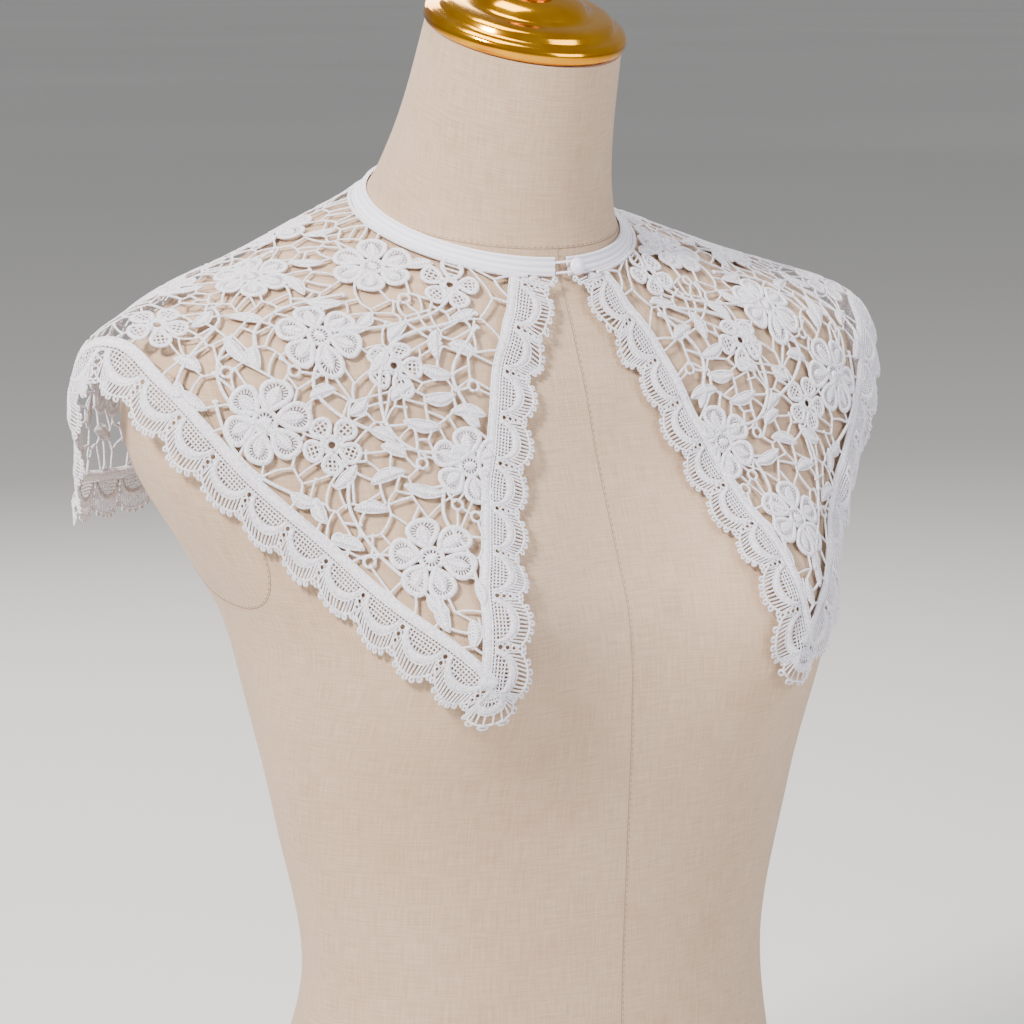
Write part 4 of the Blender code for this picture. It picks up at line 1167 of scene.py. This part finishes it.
def embroidered_cotton():
    """Guipure: cotton thread machine-embroidered in dense satin stitch, the ground dissolved
    away. The eye gets a cool matt white with fine ridges across each cord and pad."""
    material, tree, shader = plain_material("embroidered_cotton", "F5F2F8", 0.82, Sheen_Weight=0.25,
                                            Sheen_Roughness=0.5, Specular_IOR_Level=0.3,
                                            Subsurface_Weight=0.08, Subsurface_Scale=0.002)
    along = add_node(tree, "ShaderNodeAttribute", attribute_name="along").outputs["Fac"]
    across = add_node(tree, "ShaderNodeAttribute", attribute_name="across").outputs["Fac"]
    # Real stitches lie about 0.3 mm apart; they are drawn 0.75 mm apart so that they show.
    turns = add_node(tree, "ShaderNodeMath", {0: along, 1: 2 * math.pi / (0.75 * MM)}, operation="MULTIPLY")
    ridges = add_node(tree, "ShaderNodeMath", {0: turns.outputs[0]}, operation="SINE")
    # Needle marks: short dashes 1.5 mm apart in two rows down each pad, sunk by the bump and painted darker
    # as painted shade in the holes.
    aside = add_node(tree, "ShaderNodeMath", {0: across}, operation="ABSOLUTE")
    off_row = add_node(tree, "ShaderNodeMath", {0: aside.outputs[0], 1: 0.45, 2: 0.09}, operation="COMPARE")
    places = add_node(tree, "ShaderNodeMath", {0: along, 1: 0.75 * MM}, operation="PINGPONG")
    dash = add_node(tree, "ShaderNodeMath", {0: places.outputs[0], 1: 0.26 * MM}, operation="LESS_THAN")
    needle_mark_and_shade = add_node(tree, "ShaderNodeMath", {0: off_row.outputs[0], 1: dash.outputs[0]}, operation="MULTIPLY")
    object_place = add_node(tree, "ShaderNodeTexCoord").outputs["Object"]
    mottle = add_node(tree, "ShaderNodeTexNoise", {"Vector": object_place, "Scale": 800.0, "Detail": 3.0})
    # The needle marks' darker colour is painted shade; the mottle is tone that differs at random.
    tone = add_node(tree, "ShaderNodeMath", {0: needle_mark_and_shade.outputs[0], 1: 0.55, 2: mottle.outputs["Fac"]},
                    operation="MULTIPLY_ADD")
    colour = ramp(tree, tone.outputs[0], [(0.32, "FBF8FC"), (0.62, "DCD6E1"), (0.92, "A39A96")])
    tree.links.new(colour, shader.inputs["Base Color"])
    depth = add_node(tree, "ShaderNodeMath", {0: needle_mark_and_shade.outputs[0], 1: -2.5, 2: ridges.outputs[0]},
                     operation="MULTIPLY_ADD")
    bump = add_node(tree, "ShaderNodeBump", {"Strength": 0.8, "Distance": 0.16 * MM,
                                             "Height": depth.outputs[0]})
    tree.links.new(bump.outputs[0], shader.inputs["Normal"])
    return material


def woven_linen():
    """Linen canvas glued over the form: a plain weave of flax yarns. The eye gets a warm cream
    with crossed threads, some thicker than others."""
    material, tree, shader = plain_material("woven_linen", "BFA287", 0.9, Sheen_Weight=0.15,
                                            Specular_IOR_Level=0.25)
    cloth = add_node(tree, "ShaderNodeUVMap", uv_map="cloth").outputs[0]
    split = add_node(tree, "ShaderNodeSeparateXYZ", {0: cloth})
    # Real yarns lie about 0.6 mm apart; they are drawn 1.1 mm apart so that the weave shows.
    waves = []
    for axis, grain in (("X", (60.0, 1200.0, 1.0)), ("Y", (1200.0, 60.0, 1.0))):
        turns = add_node(tree, "ShaderNodeMath", {0: split.outputs[axis], 1: 2 * math.pi / (1.1 * MM)},
                         operation="MULTIPLY")
        wave = add_node(tree, "ShaderNodeMath", {0: turns.outputs[0]}, operation="SINE")
        stretched = add_node(tree, "ShaderNodeMapping", {"Vector": cloth, "Scale": grain})
        slub = add_node(tree, "ShaderNodeTexNoise",
                        {"Vector": stretched.outputs[0], "Scale": 1.0, "Detail": 3.0})
        waves.append((wave.outputs[0], slub.outputs["Fac"]))
    weave = add_node(tree, "ShaderNodeMath", {0: waves[0][0], 1: waves[1][0]}, operation="MULTIPLY")
    slubs = add_node(tree, "ShaderNodeMath", {0: waves[0][1], 1: waves[1][1]}, operation="ADD")
    height = add_node(tree, "ShaderNodeMath", {0: slubs.outputs[0], 1: 2.2, 2: weave.outputs[0]},
                      operation="MULTIPLY_ADD")
    object_place = add_node(tree, "ShaderNodeTexCoord").outputs["Object"]
    broad = add_node(tree, "ShaderNodeTexNoise", {"Vector": object_place, "Scale": 14.0, "Detail": 3.0})
    faded = add_node(tree, "ShaderNodeMath", {0: broad.outputs["Fac"], 1: 0.22}, operation="MULTIPLY")
    fine = add_node(tree, "ShaderNodeMath", {0: weave.outputs[0], 1: 0.28, 2: faded.outputs[0]},
                    operation="MULTIPLY_ADD")
    tone = add_node(tree, "ShaderNodeMath", {0: slubs.outputs[0], 1: 0.42, 2: fine.outputs[0]},
                    operation="MULTIPLY_ADD")
    colour = ramp(tree, tone.outputs[0], [(0.24, "A18468"), (0.53, "BEA186"), (0.82, "D2B99F")])
    tree.links.new(colour, shader.inputs["Base Color"])
    bump = add_node(tree, "ShaderNodeBump", {"Strength": 0.45, "Distance": 0.15 * MM,
                                             "Height": height.outputs[0]})
    tree.links.new(bump.outputs[0], shader.inputs["Normal"])
    return material


def ribbed_cotton():
    """Cotton grosgrain: woven tape with lengthwise ribs. The eye gets white with fine threads
    across the ribs; the ribs' hollows are painted darker and their crests lighter, as painted shade."""
    material, tree, shader = plain_material("ribbed_cotton", "F1EFF6", 0.78, Sheen_Weight=0.25,
                                            Specular_IOR_Level=0.3)
    along = add_node(tree, "ShaderNodeAttribute", attribute_name="along").outputs["Fac"]
    across = add_node(tree, "ShaderNodeAttribute", attribute_name="across").outputs["Fac"]
    # Real weft threads lie 0.3 mm apart; they are drawn 0.8 mm apart so that they show.
    turns = add_node(tree, "ShaderNodeMath", {0: along, 1: 2 * math.pi / (0.8 * MM)}, operation="MULTIPLY")
    weft = add_node(tree, "ShaderNodeMath", {0: turns.outputs[0]}, operation="SINE")
    # Painted shade: the colour darkens in the hollows between the band's ribs and lightens on their crests.
    ribs = add_node(tree, "ShaderNodeMath", {0: across, 1: 6 * math.pi}, operation="MULTIPLY")
    rib_painted_shade = add_node(tree, "ShaderNodeMath", {0: ribs.outputs[0]}, operation="COSINE")
    tone = add_node(tree, "ShaderNodeMath", {0: rib_painted_shade.outputs[0], 1: 0.3, 2: 0.5}, operation="MULTIPLY_ADD")
    colour = ramp(tree, tone.outputs[0], [(0.1, "CFCBDB"), (0.6, "EAE7F1")])
    tree.links.new(colour, shader.inputs["Base Color"])
    bump = add_node(tree, "ShaderNodeBump", {"Strength": 0.4, "Distance": 0.1 * MM,
                                             "Height": weft.outputs[0]})
    tree.links.new(bump.outputs[0], shader.inputs["Normal"])
    return material


def gold_plate():
    """Spun metal, gold plated and polished. The eye gets a mirror of deep yellow with faint
    smudges in its colour and gloss."""
    material, tree, shader = plain_material("gold_plate", "DB9C1C", 0.12, Metallic=1.0)
    object_place = add_node(tree, "ShaderNodeTexCoord").outputs["Object"]
    smudge = add_node(tree, "ShaderNodeTexNoise", {"Vector": object_place, "Scale": 40.0, "Detail": 3.0})
    rough = add_node(tree, "ShaderNodeMath", {0: smudge.outputs["Fac"], 1: 0.12, 2: 0.08},
                     operation="MULTIPLY_ADD")
    tree.links.new(rough.outputs[0], shader.inputs["Roughness"])
    colour = ramp(tree, smudge.outputs["Fac"], [(0.35, "D88E10"), (0.65, "ECA922")])
    tree.links.new(colour, shader.inputs["Base Color"])
    return material


def pearl_resin():
    """Cast resin with pearl pigment. The eye gets a soft white gloss with a faint lilac cast."""
    material, tree, shader = plain_material("pearl_resin", "F3F0F7", 0.25, Coat_Weight=0.6,
                                            Coat_Roughness=0.1, IOR=1.52, Subsurface_Weight=0.1,
                                            Subsurface_Scale=0.002)
    object_place = add_node(tree, "ShaderNodeTexCoord").outputs["Object"]
    cloud = add_node(tree, "ShaderNodeTexNoise", {"Vector": object_place, "Scale": 260.0, "Detail": 2.0})
    colour = ramp(tree, cloud.outputs["Fac"], [(0.3, "E9E4F2"), (0.7, "F8F6FA")])
    tree.links.new(colour, shader.inputs["Base Color"])
    return material


def seam_thread_and_fold_shade():
    """Twisted cotton sewing thread, a little darker than the linen it holds. The seams' sunk lines wear the
    same dark colour as painted shade of the folds.
    """
    material, tree, shader = plain_material("seam_thread_and_fold_shade", "85705A", 0.85)
    object_place = add_node(tree, "ShaderNodeTexCoord").outputs["Object"]
    mottle = add_node(tree, "ShaderNodeTexNoise", {"Vector": object_place, "Scale": 700.0})
    colour = ramp(tree, mottle.outputs["Fac"], [(0.3, "75624E"), (0.7, "957F67")])
    tree.links.new(colour, shader.inputs["Base Color"])
    return material


def solid_object(name, points, faces, finish, smooth_angle=40):
    """A closed piece from points and faces, facing outwards."""
    mesh = bpy.data.meshes.new(name)
    mesh.from_pydata([tuple(p) for p in points], [], faces)
    outward_faces(mesh)
    mesh.shade_smooth()
    mesh.set_sharp_from_angle(angle=math.radians(smooth_angle))
    mesh.materials.append(finish)
    return placed(name, mesh)


def tube_faces(rings, columns, around):
    """The faces between rings of points; around closes each ring. Ends get a face of their own."""
    index = np.arange(rings * columns).reshape(rings, columns)
    faces = []
    for i in range(rings - 1):
        for j in range(columns if around else columns - 1):
            k = (j + 1) % columns
            faces.append((index[i, j], index[i, k], index[i + 1, k], index[i + 1, j]))
    faces.append(tuple(index[0][::-1]))
    faces.append(tuple(index[-1]))
    return faces


def make_torso(linen):
    """The form's fine surface, with the linen's threads laid out in real lengths."""
    k = np.concatenate([np.linspace(0, 13, 150), np.linspace(13.1, SECTIONS - 1, 50)])
    angles = np.linspace(-math.pi, math.pi, FORM_SIDES, endpoint=False)
    points = ring_point(k[:, None], angles[None, :], False)
    base = points[-1].mean(0)
    bead = [points[-1] * [1, 1, 0] + (base - points[-1] * [1, 1, 0]) * [s, s, 0] + [0, 0, h * MM]
            for s, h in ((0.0, 3.0), (0.004, 1.0), (0.014, 0.0))]
    points = np.concatenate([points[:-1], np.stack(bead)])
    rows = len(points)
    piece = solid_object("linen_form", points.reshape(-1, 3), tube_faces(rows, FORM_SIDES, True), linen)
    around = np.linalg.norm(np.diff(points, axis=1, append=points[:, :1]), axis=2)
    u = np.cumsum(around, axis=1) - around
    front = FORM_SIDES // 2
    u -= u[:, front:front + 1]
    v = np.cumsum(np.linalg.norm(np.diff(points[:, front], axis=0, prepend=points[:1, front]), axis=1))
    layer = piece.data.uv_layers.new(name="cloth")
    corner_vertex = np.zeros(len(piece.data.loops), int)
    piece.data.loops.foreach_get("vertex_index", corner_vertex)
    coordinates = np.stack([u, np.broadcast_to(v[:, None], u.shape)], -1).reshape(-1, 2)[corner_vertex]
    layer.data.foreach_set("uv", coordinates.ravel())
    for polygon in piece.data.polygons:
        corners = list(polygon.loop_indices)
        if len(corners) == 4:
            us = coordinates[corners, 0]
            if us.max() - us.min() > 0.05:
                for corner in corners:
                    if coordinates[corner, 0] < 0:
                        layer.data[corner].uv[0] = us.max() + 0.005
    return piece


def seam_lines():
    """The form's seams as lines of (row, angle): round the neck, down the front and the back,
    and round each covered arm hole."""
    around = np.linspace(-math.pi, math.pi, 200)
    neck = np.stack([2.62 + 0.75 * (1 - np.cos(around)) / 2, around], -1)
    down = np.linspace(2.64, SECTIONS - 1.05, 220)
    lines = [neck, np.stack([down, np.zeros(220)], -1), np.stack([down + 0.7, np.full(220, math.pi)], -1)]
    t = np.linspace(0, 2 * math.pi, 90)
    for side in (-1, 1):
        rows = ARM_SEAM_ROW + ARM_SEAM_ROWS * np.cos(t)
        lines.append(np.stack([rows, side * math.radians(90) + math.radians(30) * np.sin(t)], -1))
    return lines


def make_seams(finish, cords, stitches):
    """The seams' sunk lines, dark as painted shade of the seams' folds, and the short stitches beside them.
    """
    points, normals, beside, edges, first = [], [], [], [], 0
    for line in seam_lines():
        here = surface(line[:, 0], line[:, 1], -SEAM_SUNK, False)
        points.append(here)
        normals.append((surface(line[:, 0], line[:, 1], MM, False) - here) / (MM + SEAM_SUNK))
        away = np.gradient(here, axis=0)
        aside = np.cross(normals[-1], away / np.linalg.norm(away, axis=1, keepdims=True))
        beside.append(here + aside * STITCHES_ASIDE + normals[-1] * 0.2 * MM)
        edges += [(first + i, first + i + 1) for i in range(len(line) - 1)]
        first += len(line)
    points, normals = np.concatenate(points), np.concatenate(normals)
    lines = edge_mesh(points, normals, np.full(len(points), 0.42 * MM), edges)
    # The sunk line is a thin cord in the thread's dark colour: a real seam line whose darkness is painted
    # shade of the fold.
    fold_shade_cord = grown(lines, cords, {"Height share": 0.8, "Sides": 6, "Finish": finish})
    side_line = bpy.data.meshes.new("side_line")
    side_line.from_pydata([tuple(p) for p in np.concatenate(beside)], edges, [])
    dashes = grown(side_line, stitches,
                   {"Step": 3.2 * MM, "Stitch length": 2.0 * MM, "Thread radius": 0.22 * MM,
                    "Finish": finish})
    return joined("seam_stitching_and_fold_shade", [fold_shade_cord, dashes])


# The cap's profile: radius, and height above the neck's flat top, in millimetres
CAP_PROFILE = [
    (0, 34), (4, 33.8), (8, 32.6), (11.2, 30.4), (12.6, 27.8), (12.2, 25.6), (10.6, 24.2), (10.2, 23.4),
    (11.5, 22.9), (17, 22), (22, 21), (26, 19.4), (28.6, 17.4), (30, 15.6), (31, 14.5), (35, 14.1),
    (39.5, 13.7), (42.6, 12.8), (44.2, 11.4), (44.9, 9.6), (45.4, 8.9), (48, 8.4), (50.2, 7.4), (51.4, 5.8),
    (51.6, 3.8), (51.4, 1.8), (50.8, 0.6), (49.6, 0.0),
]


def turned_piece(name, profile, place, steps, finish):
    """A turned piece from (radius, height) pairs in metres, its top and bottom closed."""
    angles = np.linspace(0, 2 * math.pi, steps, endpoint=False)
    rings = [[(r * math.cos(t), r * math.sin(t), h) for t in angles] for r, h in profile if r > 0]
    points = np.array(rings).reshape(-1, 3)
    rows = len(rings)
    points = np.array([place @ Vector(p) for p in points])
    faces = tube_faces(rows, steps, True)
    if profile[0][0] == 0:
        top = len(points)
        points = np.concatenate([points, [place @ Vector((0, 0, profile[0][1]))]])
        faces = [f for f in faces if len(f) == 4 or 0 not in f]
        faces += [(i, (i + 1) % steps, top) for i in range(steps)]
    return solid_object(name, points, faces, finish, 50)


def make_cap(gold):
    """The polished cap on the neck."""
    lean = Matrix.Rotation(math.radians(FORM["tilt"][0]), 4, "X")
    place = Matrix.Translation((0, FORM["y"][0] * MM, NECK_LINE_HEIGHT + FORM["z"][0] * MM)) @ lean
    profile = [(r * MM, h * MM + 0.3 * MM) for r, h in CAP_PROFILE]
    return turned_piece("gold_cap", profile, place, 96, gold)


def meridian_point(degrees, below, out):
    """A point at an angle either side of the centre front, a real distance below the neck line."""
    k = np.interp(neck_r(abs(degrees), below) - NECK_RADIUS, REACH, REACH_ROWS)
    x, y, z = surface(k, math.radians(abs(degrees)), out)
    return np.array([math.copysign(x, degrees), y, z])


def make_band(finish):
    """The neck binding with its lengthwise ribs, square cut at its right end."""
    columns = 19
    t = np.linspace(0, 1, columns)
    top = BAND_LIFT + BAND_THICKNESS - 0.35 * MM + 0.35 * MM * np.abs(np.cos(3 * math.pi * t))
    top[[0, -1]] -= 0.35 * MM
    profile = [(0, BAND_LIFT), *zip(t, top), (1, BAND_LIFT), (0.5, BAND_LIFT)]
    angles = np.linspace(BAND_FRONT_OPENING, 360 - BAND_FRONT_OPENING, 181)
    grid = np.zeros((len(angles), len(profile), 3))
    for i, degrees in enumerate(angles):
        side = degrees if degrees <= 180 else degrees - 360
        rows = [np.interp(neck_r(abs(side), BAND_WIDTH * place - BAND_ABOVE_NECK_LINE) - NECK_RADIUS,
                          REACH, REACH_ROWS) for place in (0, 0.5, 1)]
        k = np.interp([place for place, _ in profile], (0, 0.5, 1), rows)
        grid[i] = surface(k, np.full(len(k), math.radians(abs(side))), np.array([out for _, out in profile]))
        if side < 0:
            grid[i, :, 0] *= -1
    piece = solid_object("cotton_neck_band", grid.reshape(-1, 3), tube_faces(len(angles), len(profile), True),
                         finish, 60)
    length = np.concatenate([[0], np.cumsum(np.linalg.norm(np.diff(grid[:, 10], axis=0), axis=1))])
    across = np.array([place for place, _ in profile])
    keep(piece.data, "along", np.repeat(length, len(profile)))
    keep(piece.data, "across", np.tile(across, len(angles)))
    return piece


def button_seat():
    """The button's place on the left end of the band, with its axis along the cloth's normal."""
    foot = Vector(meridian_point(BUTTON_ANGLE, BUTTON_BELOW, BAND_LIFT + BAND_THICKNESS + 0.3 * MM))
    head = Vector(meridian_point(BUTTON_ANGLE, BUTTON_BELOW, BAND_LIFT + BAND_THICKNESS + 1 * MM))
    turn = Vector((0, 0, 1)).rotation_difference(head - foot).to_matrix().to_4x4()
    return Matrix.Translation(foot) @ turn


def make_button(finish):
    """The domed button: a narrow foot under a round head."""
    radius = BUTTON_DIAMETER / 2
    t = np.linspace(0, math.pi / 2, 9)
    dome = [(radius * math.sin(s) ** 0.9, BUTTON_HEIGHT * (0.5 + 0.5 * math.cos(s))) for s in t]
    under = [(0.97, 0.46), (0.88, 0.42), (0.6, 0.41), (0.4, 0.39), (0.36, 0.33), (0.36, 0.0)]
    profile = dome + [(radius * r, BUTTON_HEIGHT * h) for r, h in under]
    return turned_piece("pearl_button", profile, button_seat(), 40, finish)


def make_loop(finish, cords):
    """The cord loop from the band's right end, round the button's foot under its head."""
    seat = button_seat()
    radius = BUTTON_DIAMETER * 0.18 + LOOP_CORD / 2 + 0.3 * MM
    height = LOOP_CORD / 2 + 0.15 * MM
    root = seat.inverted() @ Vector(meridian_point(-BAND_FRONT_OPENING + 0.4, BUTTON_BELOW,
                                                   BAND_LIFT + BAND_THICKNESS / 2))
    reach = math.hypot(root.x, root.y)
    side = Vector((root.x, root.y, 0)).normalized()
    across = Vector((-side.y, side.x, 0))
    leg = [(1.0, root.z), (0.66, root.z * 0.4), (0.46, height), (0.2, height)]
    points = [side * reach * along + across * radius + Vector((0, 0, z)) for along, z in leg]
    for i in range(13):
        angle = math.pi / 2 + i * math.pi / 12
        points.append(side * radius * math.cos(angle) + across * radius * math.sin(angle)
                      + Vector((0, 0, height)))
    points += [side * reach * along - across * radius + Vector((0, 0, z)) for along, z in reversed(leg)]
    normal = np.array(seat.to_3x3() @ Vector((0, 0, 1)))
    places = np.array([seat @ p for p in points])
    lines = edge_mesh(places, np.tile(normal, (len(places), 1)), np.full(len(places), LOOP_CORD / 2),
                      [(i, i + 1) for i in range(len(places) - 1)])
    mesh = grown(lines, cords, {"Height share": 1.0, "Sides": 10, "Finish": finish})
    return placed("cotton_button_loop", mesh)


def make_lace(cotton, cords):
    """The lace's six pieces: ground and edging for each front and for the back."""
    pieces = {}
    for name, work in lay_out_lace().items():
        meshes = [pad_mesh(work.pads, cotton)]
        for kind, share, sides in (("round", 0.85, 6), ("flat", 0.6, 8)):
            if work.lines[kind]:
                meshes.append(grown(line_mesh(work.lines[kind]), cords,
                                    {"Height share": share, "Sides": sides, "Finish": cotton}))
        left = name + "_left" if "front" in name else name
        pieces[left] = joined(left, meshes)
        if "front" in name:
            pieces[name + "_right"] = mirrored_piece(pieces[left], name + "_right")
    return pieces


def area_light(name, place, target, size, power, colour):
    """A soft square light aimed at a place."""
    data = bpy.data.lights.new(name, "AREA")
    data.shape = "SQUARE"
    data.size = size
    data.energy = power
    data.color = linear(colour)[:3]
    lamp = placed(name, data)
    lamp.location = place
    lamp.rotation_mode = "QUATERNION"
    lamp.rotation_quaternion = (Vector(target) - Vector(place)).to_track_quat("-Z", "Y")


def set_stage():
    """A pale floor, soft studio light, and the camera at the photograph's angle."""
    floor_material, tree, shader = plain_material("matt_pale_paper", "DAD8D4", 0.9)
    grain = add_node(tree, "ShaderNodeTexNoise", {"Scale": 30.0})
    tree.links.new(ramp(tree, grain.outputs["Fac"], [(0.3, "D7D5D1"), (0.7, "DDDBD7")]),
                   shader.inputs["Base Color"])
    mesh = bpy.data.meshes.new("floor")
    mesh.from_pydata([(x * FLOOR_REACH, y * FLOOR_REACH, 0) for x, y in SQUARE], [], [(0, 1, 2, 3)])
    mesh.materials.append(floor_material)
    floor = placed("floor", mesh)
    world = bpy.data.worlds.new("studio")
    world.use_nodes = True
    world.node_tree.nodes["Background"].inputs["Color"].default_value = linear("E4E5E8")
    world.node_tree.nodes["Background"].inputs["Strength"].default_value = 0.5
    bpy.context.scene.world = world
    middle = (0, -0.03, 0.55)
    area_light("key", (-2.1, -0.75, 2.2), middle, 0.5, 175, "FFFAF5")
    area_light("fill", (0.9, -2.2, 1.3), middle, 1.3, 44, "F4F5FF")
    area_light("back", (0.6, 1.9, 1.8), middle, 1.2, 45, "FFFFFF")
    area_light("top", (-0.3, -0.1, 2.4), middle, 0.9, 30, "FFFFFF")

    azimuth, elevation = math.radians(CAMERA_AZIMUTH), math.radians(CAMERA_ELEVATION)
    back = Vector((math.sin(azimuth) * math.cos(elevation), -math.cos(azimuth) * math.cos(elevation),
                   math.sin(elevation)))
    right = Vector((math.cos(azimuth), math.sin(azimuth), 0))
    up = back.cross(right)
    target = Vector((0, 0, NECK_LINE_HEIGHT))
    camera = placed("camera", bpy.data.cameras.new("camera"))
    camera.data.sensor_width = SENSOR_WIDTH
    camera.data.lens = LENS_PIXELS / PHOTO_SIDE * SENSOR_WIDTH
    aside, above = NECK_PIXEL[0] - PHOTO_SIDE / 2, PHOTO_SIDE / 2 - NECK_PIXEL[1]
    camera.location = target + CAMERA_DISTANCE * (back - right * aside / LENS_PIXELS
                                                  - up * above / LENS_PIXELS)
    camera.rotation_mode = "QUATERNION"
    camera.rotation_quaternion = Matrix((right, up, back)).transposed().to_quaternion()
    bpy.context.scene.camera = camera


def dress():
    """All the pieces, riding on the part's only body and standing for its nodes."""
    cotton, linen = embroidered_cotton(), woven_linen()
    cords, stitches = cord_tree(), stitch_tree()
    lace = make_lace(cotton, cords)
    binding = ribbed_cotton()
    made = [
        (make_torso(linen), "linen", ["form_torso"]),
        (make_seams(seam_thread_and_fold_shade(), cords, stitches), "linen", []),
        (make_cap(gold_plate()), "gold", ["neck_cap"]),
        (make_band(binding), "binding", ["neck_band"]),
        (make_button(pearl_resin()), "pearl", ["button"]),
        (make_loop(binding, cords), "binding", ["button_loop"]),
    ]
    nodes = {"ground_front_left": ["lace_front_left"], "ground_front_right": ["lace_front_right"],
             "ground_back": ["lace_back"]}
    for name, piece in lace.items():
        made.append((piece, "lace", nodes.get(name, [])))
    for piece, slot, replaced in made:
        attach(piece, "root")
        if replaced:
            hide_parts(*replaced)


dress()
set_stage()
bpy.context.view_layer.update()
